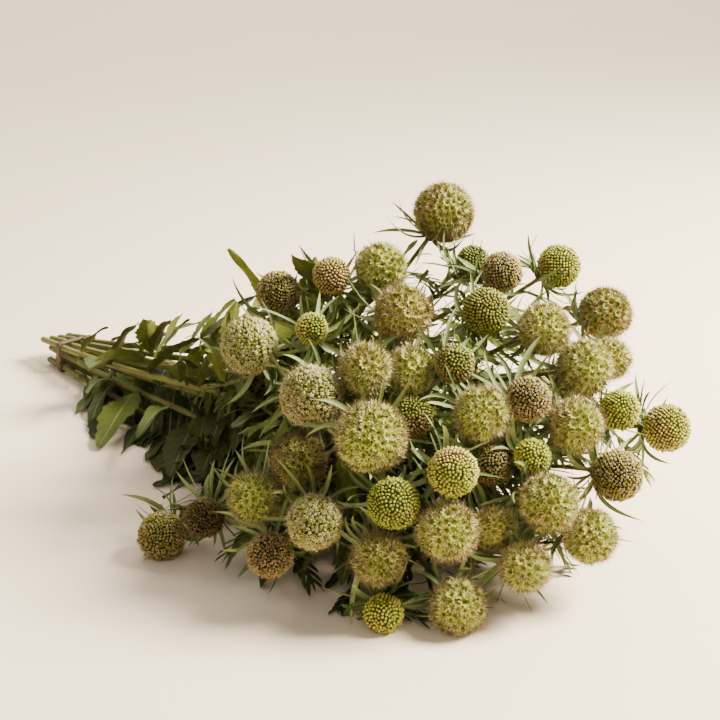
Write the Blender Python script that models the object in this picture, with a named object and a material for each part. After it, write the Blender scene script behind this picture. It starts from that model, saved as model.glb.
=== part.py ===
"""A florist's bunch of pincushion flower (scabiosa) seed heads on leafy stems.

The bunch lies on its side on a table. An elastic band holds it near the cut ends,
and the stems fan out from there to a dome of ball-shaped seed heads.
Lengths are in millimetres, and METRE turns them into Blender's unit.
Until the last step X runs to the right along the table and Y runs away from the front edge.
"""

import math

import bmesh
import bpy
import numpy as np
from mathutils import Matrix, Vector

METRE = 0.001
UP = np.array([0.0, 0.0, 1.0])
GAP = 0.35  # between two pieces that touch
SEED = 7

# The band and the bundle of stems that it holds
BAND_AT = np.array([-210.0, 375.0, 0.0])
BAND_WIDTH = 5.0
BAND_THICK = 1.1
FAN_BEARING = -49.0  # the middle of the fan, in degrees from X
STEM_R = 2.3
SLOT_WIDE = 8.0
SLOT_HIGH = 8.0
COLUMNS = 4
ROWS = 3
CUT_ENDS = (17.0, 21.0, 25.0)  # how far the stems reach past the band

# The seed heads
FLORETS = 20
RELIEF = {"papery": -1.9, "fuzzy": 1.7, "brown": 1.4, "bead": 1.5}
SEAT = 0.9  # the flat under a head, as a share of its radius
HEAD_GAP = 1.2
SIT = 2.0  # how much of a ball on the table is pressed flat
NEAR_TABLE = 3.0
DOME_HEART = np.array([30.0, 175.0, 35.0])  # the heads look away from here

# The flower stalks, the discs that carry the heads, and the bracts round them
STALK_R = 1.25
STALK_BACKS = (95, 125, 70, 155, 50)  # how far before its head a stalk may leave the stem
DISC_R = 3.4
DISC_DEEP = 4.5
DISC_RIM = 1.5
BRACTS = 6
BRACT_LONG = (19.0, 29.0)
BRACT_WIDE = 2.5
BRACT_THICK = 0.95

# Clearances along a route, and the unions
STEP = 2.5
CLEAR = 1.0
LEAF_CLEAR = 0.6
BRACT_CLEAR = 0.45
LEAF_THICK = 0.9
WELDS = (4e-6, 2e-6, 8e-6, 1.5e-5)  # in metres, tried in turn on the slivers of a union
TRIES = 8
NUDGE = 0.03  # between one try and the next

# Each seed head: kind, diameter, bearing from the band in degrees, reach from the band, height
HEADS = (
    ("brown", 26, -52.0, 265, 123),
    ("bead", 22, -48.0, 290, 135),
    ("fuzzy", 32, -59.5, 295, 107),
    ("bead", 18, -54.5, 317, 118),
    ("papery", 29, -43.5, 306, 138),
    ("papery", 30, -49.5, 358, 131),
    ("papery", 26, -55.0, 373, 112),
    ("papery", 25, -51.5, 379, 106),
    ("fuzzy", 33, -59.0, 361, 99),
    ("papery", 35, -33.5, 311, 161),
    ("bead", 20, -34.0, 333, 135),
    ("brown", 24, -36.5, 361, 137),
    ("bead", 26, -43.5, 382, 129),
    ("bead", 26, -28.5, 373, 130),
    ("papery", 31, -28.0, 402, 104),
    ("papery", 28, -41.0, 411, 119),
    ("papery", 29, -40.5, 429, 106),
    ("papery", 23, -34.5, 424, 94),
    ("bead", 21, -49.5, 395, 113),
    ("papery", 27, -50.0, 421, 95),
    ("brown", 24, -46.5, 429, 98),
    ("papery", 28, -44.5, 448, 85),
    ("bead", 22, -39.5, 450, 82),
    ("bead", 27, -34.5, 460, 61),
    ("bead", 25, -54.0, 434, 76),
    ("brown", 22, -49.5, 427, 68),
    ("bead", 19, -48.0, 442, 72),
    ("brown", 27, -43.0, 467, 59),
    ("papery", 29, -48.5, 458, 57),
    ("papery", 27, -46.5, 472, 37),
    ("papery", 25, -51.0, 463, 29),
    ("papery", 29, -55.0, 440, 49),
    ("papery", 22, -51.0, 441, 41),
    ("papery", 27, -55.0, 450, 14),
    ("papery", 28, -61.0, 369, 69),
    ("papery", 35, -57.5, 401, 89),
    ("papery", 26, -64.5, 363, 51),
    ("fuzzy", 28, -62.0, 400, 50),
    ("bead", 26, -57.5, 421, 61),
    ("brown", 24, -64.5, 383, 28),
    ("papery", 25, -59.0, 425, 36),
    ("bead", 20, -59.0, 430, 10),
    ("brown", 27, -70.5, 311, 14),
    ("brown", 22, -67.0, 321, 23),
    ("bead", 22, -52.5, 389, 90),
    ("papery", 27, -25.5, 380, 52),
    ("brown", 25, -31.0, 345, 12),
)

# Each large leaf: stem, distance along the stem from the band, turn round the stem in degrees
# (0 away from the front, 90 up, 180 to the front), kind and length
LEAVES = (
    (1, 80, 170, "lance", 46),
    (1, 112, 200, "toothed", 66),
    (1, 150, 170, "lance", 56),
    (1, 185, 215, "toothed", 66),
    (1, 225, 290, "lobed", 58),
    (2, 95, 150, "lance", 50),
    (2, 130, 190, "toothed", 70),
    (2, 175, 160, "lance", 62),
    (2, 205, 210, "toothed", 62),
    (2, 270, 200, "lobed", 60),
    (3, 60, 80, "lance", 42),
    (3, 105, 140, "toothed", 58),
    (3, 150, 60, "toothed", 60),
    (3, 190, 120, "lance", 60),
    (3, 215, 120, "lobed", 58),
    (4, 135, 270, "lance", 58),
    (4, 190, 330, "toothed", 60),
    (4, 290, 200, "lobed", 60),
    (5, 110, 340, "lance", 60),
    (5, 240, 120, "lobed", 60),
    (6, 90, 90, "lance", 48),
    (6, 150, 120, "toothed", 64),
    (6, 200, 70, "lance", 56),
    (6, 235, 80, "lobed", 60),
    (7, 150, 290, "lance", 62),
    (7, 250, 220, "toothed", 58),
    (8, 175, 160, "lance", 58),
    (8, 275, 90, "lobed", 58),
    (9, 120, 100, "lance", 52),
    (9, 180, 80, "toothed", 62),
    (9, 270, 120, "lobed", 60),
    (10, 115, 240, "lance", 58),
    (10, 205, 210, "toothed", 58),
    (10, 290, 240, "lobed", 54),
    (11, 145, 10, "lance", 60),
    (11, 250, 20, "lobed", 58),
    (12, 100, 40, "lance", 52),
    (12, 160, 80, "toothed", 64),
    (12, 255, 20, "lobed", 58),
)
LEAF_STATIONS = {"lance": 5, "toothed": 8, "lobed": 5, "narrow": 3}
LEAF_SHORTER = (1.0, 0.85, 0.7, 0.55)
LEAF_SWINGS = (0, 20, -20, 40, -40, 65, -65, 90, -90, 120, -120, 150, -150, 180)
LEAF_DROOPS = (0.55, 0.2, 0.9, -0.2)
LOBE_SHARES = (0.35, 0.62)  # where along a lobed leaf its side lobes grow
FORK_LEAF = (48, 80)  # the length of the narrow leaf at a fork, and its turn round the stalk

MATERIALS = {
    "papery": ((0.50, 0.47, 0.22), 0.85),
    "fuzzy": ((0.56, 0.50, 0.30), 0.9),
    "brown": ((0.42, 0.32, 0.16), 0.9),
    "bead": ((0.46, 0.47, 0.12), 0.7),
    "stem": ((0.20, 0.27, 0.09), 0.6),
    "band": ((0.36, 0.24, 0.13), 0.55),
}


def unit(v):
    return v / np.linalg.norm(v)


def bearing_vector(degrees):
    a = math.radians(degrees)
    return np.array([math.cos(a), math.sin(a), 0.0])


def across(direction):
    """Two unit vectors square to a direction, the second one as near upright as it can be."""
    upright = UP if abs(direction[2]) < 0.95 else np.array([0.0, 1.0, 0.0])
    side = unit(np.cross(upright, direction))
    return side, np.cross(direction, side)


def round_about(direction, turn):
    """The unit vector square to a direction at this turn in radians."""
    side, ahead = across(direction)
    return side * math.cos(turn) + ahead * math.sin(turn)


def bezier(p0, p1, p2, p3, count):
    t = np.linspace(0, 1, count)[:, None]
    return (1 - t) ** 3 * p0 + 3 * (1 - t) ** 2 * t * p1 + 3 * (1 - t) * t**2 * p2 + t**3 * p3


def run_of(line):
    """The distance along a line at each of its points."""
    return np.concatenate([[0.0], np.cumsum(np.linalg.norm(np.diff(line, axis=0), axis=1))])


def at_run(line, distance):
    run = run_of(line)
    return np.array([np.interp(distance, run, line[:, k]) for k in range(3)])


def samples(points):
    """Points at an even step along a line."""
    points = np.asarray(points)
    run = run_of(points)
    at = np.linspace(0, run[-1], max(2, int(run[-1] / STEP) + 1))
    return np.column_stack([np.interp(at, run, points[:, k]) for k in range(3)])


def material(name):
    colour, roughness = MATERIALS[name]
    made = bpy.data.materials.get(name)
    if made is None:
        made = bpy.data.materials.new(name)
        made.use_nodes = True
        shader = made.node_tree.nodes["Principled BSDF"]
        shader.inputs["Base Color"].default_value = (*colour, 1.0)
        shader.inputs["Roughness"].default_value = roughness
        shader.inputs["Metallic"].default_value = 0.0
    return made


def new_object(name, points, faces, finish):
    mesh = bpy.data.meshes.new(name)
    mesh.from_pydata([tuple(np.asarray(p) * METRE) for p in points], [], faces)
    mesh.materials.append(material(finish))
    made = bpy.data.objects.new(name, mesh)
    bpy.context.scene.collection.objects.link(made)
    return made


class Taken:
    """The room that is taken, as balls along every piece placed so far, so that later pieces keep off it."""

    def __init__(self):
        self.centres = np.zeros((0, 3))
        self.radii = np.zeros(0)
        self.owners = np.zeros(0, int)

    def add(self, points, radius, owner):
        count = len(points)
        self.centres = np.vstack([self.centres, points])
        self.radii = np.concatenate([self.radii, np.full(count, float(radius))])
        self.owners = np.concatenate([self.owners, np.full(count, owner)])

    def room(self, points, radius, own):
        """The least gap between these balls and what other owners have taken."""
        margin = radius + 25
        near = ((self.centres > points.min(0) - margin) & (self.centres < points.max(0) + margin)).all(1)
        near &= ~np.isin(self.owners, own)
        if not near.any():
            return math.inf
        apart = np.linalg.norm(points[:, None] - self.centres[None, near], axis=2)
        return float((apart - self.radii[near] - radius).min())


def head_owner(i):
    return 100 + i


def disc_owner(i):
    return 200 + i


def head_centres():
    """Where each ball lies, once touching balls are eased apart and the low ones are set on the table."""
    centres, radii = [], []
    for _, diameter, bearing, reach, height in HEADS:
        centres.append(BAND_AT + bearing_vector(bearing) * reach + UP * height)
        radii.append(diameter / 2)
    centres, radii = np.array(centres), np.array(radii)
    low = centres[:, 2] < radii + NEAR_TABLE
    for _ in range(300):
        for i in range(len(radii)):
            away = centres[i] - centres
            apart = np.linalg.norm(away, axis=1)
            apart[i] = math.inf
            over = radii[i] + radii + HEAD_GAP - apart
            for j in np.nonzero(over > 0)[0]:
                shift = away[j] / apart[j] * over[j] * 0.5
                centres[i] += shift
                centres[j] -= shift
        centres[low, 2] = radii[low] - SIT
        centres[:, 2] = np.maximum(centres[:, 2], radii - SIT)
    return centres, radii


def head_axes(centres):
    """The way each head faces: outwards from the heart of the dome, and on along its stalk."""
    axes = []
    for centre in centres:
        axis = unit(centre - DOME_HEART) + 0.75 * unit(centre - BAND_AT - UP * 15.0)
        if centre[2] < 30:
            axis[2] = max(axis[2], 0.0)
        axes.append(unit(axis))
    return np.array(axes)


def stem_groups(centres):
    """The heads of each stem: four fans side by side, each in three layers from the table up."""
    from_band = centres - BAND_AT - UP * 15.0
    bearings = np.arctan2(from_band[:, 1], from_band[:, 0])
    climbs = from_band[:, 2] / np.linalg.norm(from_band[:, :2], axis=1)
    groups = []
    for fan in np.array_split(np.argsort(bearings), COLUMNS):
        for layer in np.array_split(fan[np.argsort(climbs[fan])], ROWS):
            groups.append([int(i) for i in layer])
    return groups


def slot(number):
    """A stem's place in the bundle, inside the band. The columns run from the fan's left to its right."""
    column, row = divmod(number, ROWS)
    offset = (column - (COLUMNS - 1) / 2) * SLOT_WIDE + (row % 2 - 0.5) * SLOT_WIDE * 0.45
    height = BAND_THICK + GAP + STEM_R + row * SLOT_HIGH
    return BAND_AT + bearing_vector(FAN_BEARING + 90) * offset + UP * height


def bows(reach):
    """Ways to bow a line at its two handles, the straightest first."""
    turns = [np.zeros(2)]
    for share in (0.035, 0.075, 0.13):
        for k in range(8):
            a = math.radians(45 * k)
            turns.append(np.array([math.cos(a), math.sin(a)]) * share * reach)
    pairs = [(a, b) for a in turns for b in turns]
    return sorted(pairs, key=lambda pair: np.linalg.norm(pair[0]) + np.linalg.norm(pair[1]))


def clear_route(start, leave, end, arrive, segments, radius, own, taken):
    """The line from start to end that keeps off other pieces, and the room that it keeps."""
    reach = np.linalg.norm(end - start)
    side, upright = across((end - start) / reach)
    best, most = None, -math.inf
    for first, second in bows(reach):
        p1 = start + leave * reach * 0.36 + side * first[0] + upright * first[1]
        p2 = end - arrive * reach * 0.26 + side * second[0] + upright * second[1]
        line = bezier(start, p1, p2, end, segments + 1)
        line[1:-1, 2] = np.maximum(line[1:-1, 2], radius + 0.4)
        room = taken.room(samples(line)[2:], radius, own)
        if room > most:
            best, most = line, room
        if room >= CLEAR:
            break
    return best, most


def tube(line, radii, sides):
    """A closed tube along a line."""
    points, faces = [], []
    for at, way, radius in zip(line, np.gradient(line, axis=0), radii):
        for s in range(sides):
            points.append(at + round_about(unit(way), 2 * math.pi * s / sides) * radius)
    for k in range(len(line) - 1):
        for s in range(sides):
            a, b = k * sides + s, k * sides + (s + 1) % sides
            faces.append((a, b, b + sides, a + sides))
    last = (len(line) - 1) * sides
    faces.append(tuple(range(sides))[::-1])
    faces.append(tuple(range(last, last + sides)))
    return points, faces


def blade(line, widths, face_up):
    """A closed blade along a line: an edge at each side, a keel below, and a point at the tip."""
    points, faces = [], []
    lowest = 0.1 + 0.4 * (abs(float(line.sum())) % 1.0)
    for at, way, width in zip(line[:-1], np.gradient(line, axis=0), widths):
        side = unit(np.cross(way, face_up))
        keel = at - unit(np.cross(side, way)) * LEAF_THICK
        for edge in (at - side * width / 2, at + side * width / 2):
            points.append([edge[0], edge[1], max(edge[2], lowest + LEAF_THICK)])
        points.append([keel[0], keel[1], max(keel[2], lowest)])
    tip = len(points)
    points.append(line[-1])
    rings = len(line) - 1
    for k in range(rings - 1):
        for s in range(3):
            a, b = 3 * k + s, 3 * k + (s + 1) % 3
            faces += [(a, b, b + 3), (a, b + 3, a + 3)]
    for s in range(3):
        faces.append((3 * (rings - 1) + s, 3 * (rings - 1) + (s + 1) % 3, tip))
    faces.append((0, 2, 1))
    return points, faces


def bent_path(start, first, last, length, count):
    """A line that leaves along one direction and turns steadily towards another, and stops at the table."""
    t = np.linspace(0, 1, count)[:, None]
    line = start + length * (first * t + (last - first) * t**2 / 2)
    line[1:, 2] = np.maximum(line[1:, 2], BRACT_THICK + 0.6)
    return line


def spiral_points(count, axis):
    """Directions spread evenly over a ball, in the spiral in which florets grow."""
    golden = math.pi * (3 - math.sqrt(5))
    points = []
    for k in range(count):
        z = 1 - (2 * k + 1) / count
        points.append(round_about(axis, golden * k) * math.sqrt(1 - z * z) + axis * z)
    return points


def seed_head(name, kind, centre, radius, axis):
    """A ball closely set with florets in a spiral, each a raised boss or a sunken cup."""
    relief = RELIEF[kind]
    high = radius + min(relief, 0)
    low = radius - max(relief, 0)
    bosses = spiral_points(FLORETS, axis)
    net = bmesh.new()
    bmesh.ops.convex_hull(net, input=[net.verts.new(Vector(b)) for b in bosses])
    net.verts.index_update()
    net.faces.index_update()
    points = [centre + b * high for b in bosses]
    points += [centre + unit(np.array(face.calc_center_median())) * low for face in net.faces]
    faces = []
    for edge in net.edges:
        a, b = (v.index for v in edge.verts)
        s, t = (FLORETS + f.index for f in edge.link_faces)
        for corner in (a, b):
            normal = np.cross(points[s] - points[corner], points[t] - points[corner])
            outwards = normal @ (points[corner] - centre) > 0
            faces.append((corner, s, t) if outwards else (corner, t, s))
    net.free()
    made = new_object(name, points, faces, kind)
    cut_flat(made, centre - axis * radius * SEAT, -axis)
    cut_flat(made, np.zeros(3), -UP)


def cut_flat(made, at, normal):
    """Takes away what lies beyond a plane and closes the cut with a flat face."""
    net = bmesh.new()
    net.from_mesh(made.data)
    everything = net.verts[:] + net.edges[:] + net.faces[:]
    plane = {"plane_co": Vector(at * METRE), "plane_no": Vector(normal), "dist": 1e-7}
    bmesh.ops.bisect_plane(net, geom=everything, clear_outer=True, **plane)
    rim = [e for e in net.edges if e.is_boundary]
    if rim:
        bmesh.ops.holes_fill(net, edges=rim)
    net.to_mesh(made.data)
    net.free()


def joined(name, pieces, finish):
    """One solid from the pieces of a stem, nudged a little and tried again where slivers are left."""
    draw = np.random.default_rng(SEED)
    nudge = 0.0
    for _ in range(TRIES):
        moved = [(np.asarray(points) + draw.normal(0, 1, 3) * nudge, faces) for points, faces in pieces]
        made = union_of(name, moved, finish)
        if closes_up(made):
            return
        bpy.data.objects.remove(made)
        nudge = NUDGE
    raise ValueError(f"slivers left in {name}")


def union_of(name, pieces, finish):
    base = new_object(name, *pieces[0], finish)
    others = bpy.data.collections.new(name + "_parts")
    bpy.context.scene.collection.children.link(others)
    for k, (points, faces) in enumerate(pieces[1:]):
        part = new_object(f"{name}_{k}", points, faces, finish)
        bpy.context.scene.collection.objects.unlink(part)
        others.objects.link(part)
    union = base.modifiers.new("union", "BOOLEAN")
    union.operation = "UNION"
    union.operand_type = "COLLECTION"
    union.collection = others
    union.solver = "MANIFOLD"
    bpy.context.view_layer.update()
    graph = bpy.context.evaluated_depsgraph_get()
    fused = bpy.data.meshes.new_from_object(base.evaluated_get(graph))
    base.modifiers.remove(union)
    base.data = fused
    for part in list(others.objects):
        bpy.data.objects.remove(part)
    bpy.data.collections.remove(others)
    return base


def closes_up(made):
    """Welds the slivers that a union leaves where two surfaces cross at a shallow angle."""
    for weld in WELDS:
        net = bmesh.new()
        net.from_mesh(made.data)
        bmesh.ops.triangulate(net, faces=net.faces[:])
        bmesh.ops.remove_doubles(net, verts=net.verts[:], dist=weld)
        bmesh.ops.dissolve_degenerate(net, dist=weld, edges=net.edges[:])
        bmesh.ops.triangulate(net, faces=net.faces[:])
        whole = all(len(e.link_faces) == 2 for e in net.edges)
        if whole:
            net.to_mesh(made.data)
        net.free()
        if whole:
            return True
    return False


def main_stem(number, lead, centres, radii, axes, taken):
    """The line of a stem, from its cut end through the band to its farthest head."""
    fan = bearing_vector(FAN_BEARING)
    at = slot(number)
    end = centres[lead] - axes[lead] * (radii[lead] * SEAT + GAP + DISC_DEEP)
    leave = unit(unit(end - at) + fan * 0.8)
    own = (number, head_owner(lead), disc_owner(lead))
    line, _ = clear_route(at + fan * BAND_WIDTH, leave, end, axes[lead], 8, STEM_R, own, taken)
    held = at - fan * BAND_WIDTH
    cut = held - leave * CUT_ENDS[number % len(CUT_ENDS)]
    cut[2] = max(cut[2], STEM_R + 0.1)
    line = np.vstack([cut, held, line])
    taken.add(samples(line), STEM_R, number)
    return line


def side_stalk(number, i, stem, centres, radii, axes, taken):
    """The line of the stalk that forks off a stem and carries one more head."""
    end = centres[i] - axes[i] * (radii[i] * SEAT + GAP + DISC_DEEP)
    own = (number, head_owner(i), disc_owner(i))
    best, most = None, -math.inf
    for back in STALK_BACKS:
        fork = max(60.0, np.linalg.norm(end - stem[1]) - back)
        fork = min(fork, run_of(stem)[-1] - 35)
        root = at_run(stem, fork)
        leave = unit(unit(at_run(stem, fork + 5) - root) + unit(end - root) * 0.6)
        line, room = clear_route(root, leave, end, axes[i], 4, STALK_R, own, taken)
        if room > most:
            best, most = line, room
        if room >= CLEAR:
            break
    taken.add(samples(best), STALK_R, number)
    return best


def leaf_widths(kind, length, count):
    """The width of a leaf at each station, from its stalk to its tip."""
    t = np.linspace(0, 1, count)
    if kind == "narrow":
        return np.array([2.2, 3.8, 0.0])
    if kind == "lance":
        return length * (0.05 + 0.17 * np.sin(np.pi * t**0.8))
    if kind == "toothed":
        teeth = np.where(np.arange(count) % 2 == 0, 1.0, 0.72)
        return length * (0.045 + 0.38 * np.sin(np.pi * t**0.9) * teeth)
    return length * (0.05 + 0.03 * np.sin(np.pi * t))


def clear_leaf(root, stem_way, turn, kind, length, owner, taken):
    """A leaf that droops from its stem and keeps off other pieces: its line, widths and upper side."""
    for shorter in LEAF_SHORTER:
        for swing in LEAF_SWINGS:
            for droop in LEAF_DROOPS:
                out = round_about(stem_way, math.radians(turn + swing))
                first = unit(stem_way * 0.62 + out * 0.78)
                last = unit(first - UP * droop)
                line = bent_path(root, first, last, length * shorter, LEAF_STATIONS[kind])
                face_up = unit(np.cross(np.cross(first, UP + out * 0.3), first))
                widths = leaf_widths(kind, length * shorter, len(line))
                taking = leaf_samples(line, widths, face_up)
                if taken.room(taking, 1.2, owner) > LEAF_CLEAR:
                    taken.add(taking, 1.2, owner)
                    return line, widths, face_up
    return None


def leaf_samples(line, widths, face_up):
    sides = np.array([unit(np.cross(way, face_up)) for way in np.gradient(line, axis=0)])
    parts = [samples(line)]
    for share in (-0.46, -0.23, 0.23, 0.46):
        parts.append(samples(line + sides * (widths * share)[:, None]))
    return np.vstack(parts)[2:]


def leaf_solids(kind, line, widths, face_up):
    solids = [blade(line, widths, face_up)]
    if kind != "lobed":
        return solids
    length = run_of(line)[-1]
    for share in LOBE_SHARES:
        root = at_run(line, share * length)
        way = unit(at_run(line, share * length + 1) - root)
        side = unit(np.cross(way, face_up))
        for hand in (-1, 1):
            first = unit(way * 0.6 + side * hand * 0.8)
            lobe = bent_path(root - side * hand * 0.4, first, way, length * 0.3, 3)
            solids.append(blade(lobe, (2.2, 2.4, 0), face_up))
    return solids


def clear_bract(root, axis, turn, lean, length, ball, own, taken):
    """The line of one bract: bent, swung or shortened until it keeps clear."""
    centre, radius = ball
    for shorter in (1.0, 0.8, 0.62):
        for bend in (lean, lean + 25, lean - 25, lean + 50, lean + 75):
            for swing in (0.0, 0.25, -0.25):
                out = round_about(axis, turn + swing)
                first = out * math.cos(math.radians(14)) - axis * math.sin(math.radians(14))
                last = out * math.cos(math.radians(bend)) - axis * math.sin(math.radians(bend))
                line = bent_path(root, first, last, length * shorter, 3)
                taking = samples(line)[1:]
                from_ball = np.linalg.norm(taking - centre, axis=1).min() - radius
                if from_ball > 1.2 and taken.room(taking, 1.5, own) > BRACT_CLEAR:
                    return line
    return None


def bract_lines(centre, radius, axis, offset, number, i, taken, draw):
    """The ring of narrow bracts under a head, each clear of its neighbours. None marks one with no room."""
    seat = centre - axis * (radius * SEAT + GAP + DISC_RIM / 2)
    lines = []
    for k in range(BRACTS):
        length = draw.uniform(*BRACT_LONG)
        lean = draw.uniform(-25, 45)
        turn = offset + 2 * math.pi * (k + 0.5) / BRACTS
        root = seat + round_about(axis, turn) * DISC_R * 0.92
        own = (number, disc_owner(i))
        line = clear_bract(root, axis, turn, lean, length, (centre, radius), own, taken)
        lines.append(line)
        if line is not None:
            taken.add(samples(line)[2:], 1.3, number)
    return lines


def whorl(centre, radius, axis, offset, lines):
    """The disc that carries a head, and the bracts that grow out of its rim, as one closed body."""
    top = centre - axis * (radius * SEAT + GAP)
    points, faces = [], []
    for drop, reach in ((0.0, DISC_R), (DISC_RIM, DISC_R * 0.92)):
        for k in range(BRACTS):
            points.append(top - axis * drop + round_about(axis, offset + 2 * math.pi * k / BRACTS) * reach)
    apex = len(points)
    points.append(top - axis * (DISC_DEEP + 1.5))
    faces.append(tuple(range(BRACTS)))
    for k in range(BRACTS):
        n = (k + 1) % BRACTS
        tl, tr, br, bl = k, n, BRACTS + n, BRACTS + k
        faces.append((bl, apex, br))
        if lines[k] is None:
            faces.append((bl, br, tr, tl))
            continue
        root, middle, end = lines[k]
        half = unit(np.cross(end - root, axis)) * BRACT_WIDE / 2
        if half @ (points[tr] - points[tl]) < 0:
            half = -half
        under = -unit(np.cross(unit(end - root), half))
        if under @ axis > 0:
            under = -under
        ml, mr, mk, tip = range(len(points), len(points) + 4)
        points += [middle - half, middle + half, middle + under * BRACT_THICK, end]
        for edge in points[ml:mk]:
            edge[2] = max(edge[2], BRACT_THICK + 0.2)
        points[mk][2] = max(points[mk][2], 0.2)
        faces += [(tl, ml, mr), (tl, mr, tr), (tl, bl, ml), (bl, mk, ml), (bl, br, mk)]
        faces += [(tr, mr, br), (br, mr, mk), (ml, tip, mr), (ml, mk, tip), (mk, mr, tip)]
    return points, faces


def leafy_stems(centres, radii, axes):
    """The closed bodies that each leafy stem is fused from."""
    draw = np.random.default_rng(SEED)
    taken = Taken()
    for i, (centre, radius) in enumerate(zip(centres, radii)):
        taken.add(centre[None], radius, head_owner(i))
        taken.add((centre - axes[i] * (radius + 3))[None], 4.0, disc_owner(i))
    groups = stem_groups(centres)
    bodies, stems, forks = [], [], []
    for number, members in enumerate(groups):
        reaches = np.linalg.norm(centres[members] - slot(number), axis=1)
        members.insert(0, members.pop(int(np.argmax(reaches))))
        stems.append(main_stem(number, members[0], centres, radii, axes, taken))
        thins = np.linspace(STEM_R, STALK_R + 0.2, len(stems[-1]))
        bodies.append([tube(stems[-1], thins, 5)])
    for number, members in enumerate(groups):
        for i in members:
            if i != members[0]:
                stalk = side_stalk(number, i, stems[number], centres, radii, axes, taken)
                forks.append((number, stalk))
                bodies[number].append(tube(stalk, [STALK_R] * len(stalk), 4))
            end = centres[i] - axes[i] * (radii[i] * SEAT + GAP + DISC_DEEP)
            taken.add(samples([end, end + axes[i] * DISC_DEEP]), 2.8, number)
    for stem, distance, turn, kind, length in LEAVES:
        number = stem - 1
        root = at_run(stems[number], distance)
        way = unit(at_run(stems[number], distance + 5) - root)
        leaf = clear_leaf(root, way, turn, kind, length, number, taken)
        if leaf is not None:
            bodies[number] += leaf_solids(kind, *leaf)
    for number, stalk in forks:
        turn = FORK_LEAF[1] + draw.uniform(-30, 30)
        leaf = clear_leaf(stalk[1], unit(stalk[2] - stalk[1]), turn, "narrow", FORK_LEAF[0], number, taken)
        if leaf is not None:
            bodies[number] += leaf_solids("narrow", *leaf)
    for number, members in enumerate(groups):
        for i in members:
            ball = (centres[i], radii[i], axes[i], draw.uniform(0, 2 * math.pi))
            bodies[number].append(whorl(*ball, bract_lines(*ball, number, i, taken, draw)))
    return bodies


def outline(points):
    """The outer corners of a flat set of points, anticlockwise."""
    points = sorted({(round(x, 4), round(y, 4)) for x, y in points})

    def half(ordered):
        chain = []
        for p in ordered:
            while len(chain) > 1:
                (ax, ay), (bx, by) = chain[-2:]
                if (bx - ax) * (p[1] - ay) > (by - ay) * (p[0] - ax):
                    break
                chain.pop()
            chain.append(p)
        return chain[:-1]

    return np.array(half(points) + half(points[::-1]))


def band():
    """The elastic band: a flat loop stretched round the bundle of stems."""
    fan = bearing_vector(FAN_BEARING)
    side = bearing_vector(FAN_BEARING + 90)
    rims = []
    for number in range(COLUMNS * ROWS):
        at = slot(number) - BAND_AT
        for a in np.linspace(0, 2 * math.pi, 12, endpoint=False):
            rims.append((at @ side + math.cos(a) * (STEM_R + GAP), at[2] + math.sin(a) * (STEM_R + GAP)))
    loop = outline(rims)
    heart = loop.mean(axis=0)
    points, faces = [], []
    for forwards in (-BAND_WIDTH / 2, BAND_WIDTH / 2):
        for thick in (0.0, BAND_THICK):
            for corner in loop:
                x, z = corner + unit(corner - heart) * thick
                points.append(BAND_AT + side * x + UP * max(z, 0.0) + fan * forwards)
    count = len(loop)
    for k in range(count):
        n = (k + 1) % count
        faces.append((n, k, 2 * count + k, 2 * count + n))
        faces.append((count + k, count + n, 3 * count + n, 3 * count + k))
        faces.append((k, n, count + n, count + k))
        faces.append((2 * count + n, 2 * count + k, 3 * count + k, 3 * count + n))
    new_object("band", points, faces, "band")


def centre_on_origin():
    """Moves the whole bunch so that the middle of its box stands over the origin."""
    solids = [o for o in bpy.context.scene.objects if o.type == "MESH"]
    corners = np.array([v.co for o in solids for v in o.data.vertices])
    middle = (corners.min(0) + corners.max(0)) / 2
    for o in solids:
        o.data.transform(Matrix.Translation((-middle[0], -middle[1], 0.0)))


def main():
    for old in list(bpy.data.objects):
        bpy.data.objects.remove(old)
    centres, radii = head_centres()
    axes = head_axes(centres)
    for i, head in enumerate(HEADS):
        seed_head(f"seed_head_{i + 1:02d}", head[0], centres[i], radii[i], axes[i])
    for number, bodies in enumerate(leafy_stems(centres, radii, axes)):
        joined(f"leafy_stem_{number + 1:02d}", bodies, "stem")
    band()
    centre_on_origin()


main()
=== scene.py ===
import math

import bpy
import numpy as np
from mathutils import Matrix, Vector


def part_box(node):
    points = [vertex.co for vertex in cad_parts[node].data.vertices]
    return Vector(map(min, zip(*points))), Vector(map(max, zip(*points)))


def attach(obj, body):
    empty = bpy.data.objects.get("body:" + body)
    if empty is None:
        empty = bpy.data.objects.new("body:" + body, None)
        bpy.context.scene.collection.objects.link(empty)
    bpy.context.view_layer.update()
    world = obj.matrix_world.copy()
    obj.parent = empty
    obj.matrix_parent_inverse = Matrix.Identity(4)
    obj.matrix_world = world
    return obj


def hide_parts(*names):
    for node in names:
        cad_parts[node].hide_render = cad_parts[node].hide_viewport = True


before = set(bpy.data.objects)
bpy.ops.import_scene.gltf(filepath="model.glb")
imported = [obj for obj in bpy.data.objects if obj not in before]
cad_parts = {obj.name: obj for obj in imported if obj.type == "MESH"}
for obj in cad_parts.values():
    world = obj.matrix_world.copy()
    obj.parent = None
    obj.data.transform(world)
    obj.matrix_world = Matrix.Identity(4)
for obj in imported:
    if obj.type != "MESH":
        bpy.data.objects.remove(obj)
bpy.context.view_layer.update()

# The growth of the bunch: twelve branched flower stems, cut and laid side by side, each with its
# flower stalks. A stem is round, fleshy and faintly ribbed, olive green and a little downy, and it
# thins towards its head. Lengths are in millimetres, in the plan that the solids follow.
METRE = 0.001
UP = np.array([0.0, 0.0, 1.0])
GAP = 0.35
SEED = 7
BAND_AT = np.array([-210.0, 375.0, 0.0])
BAND_WIDTH = 5.0
BAND_THICK = 1.1
FAN_BEARING = -49.0
STEM_R = 2.3
STEM_SEGMENTS = 8
SLOT_WIDE = 8.0
SLOT_HIGH = 8.0
COLUMNS = 4
ROWS = 3
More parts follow.
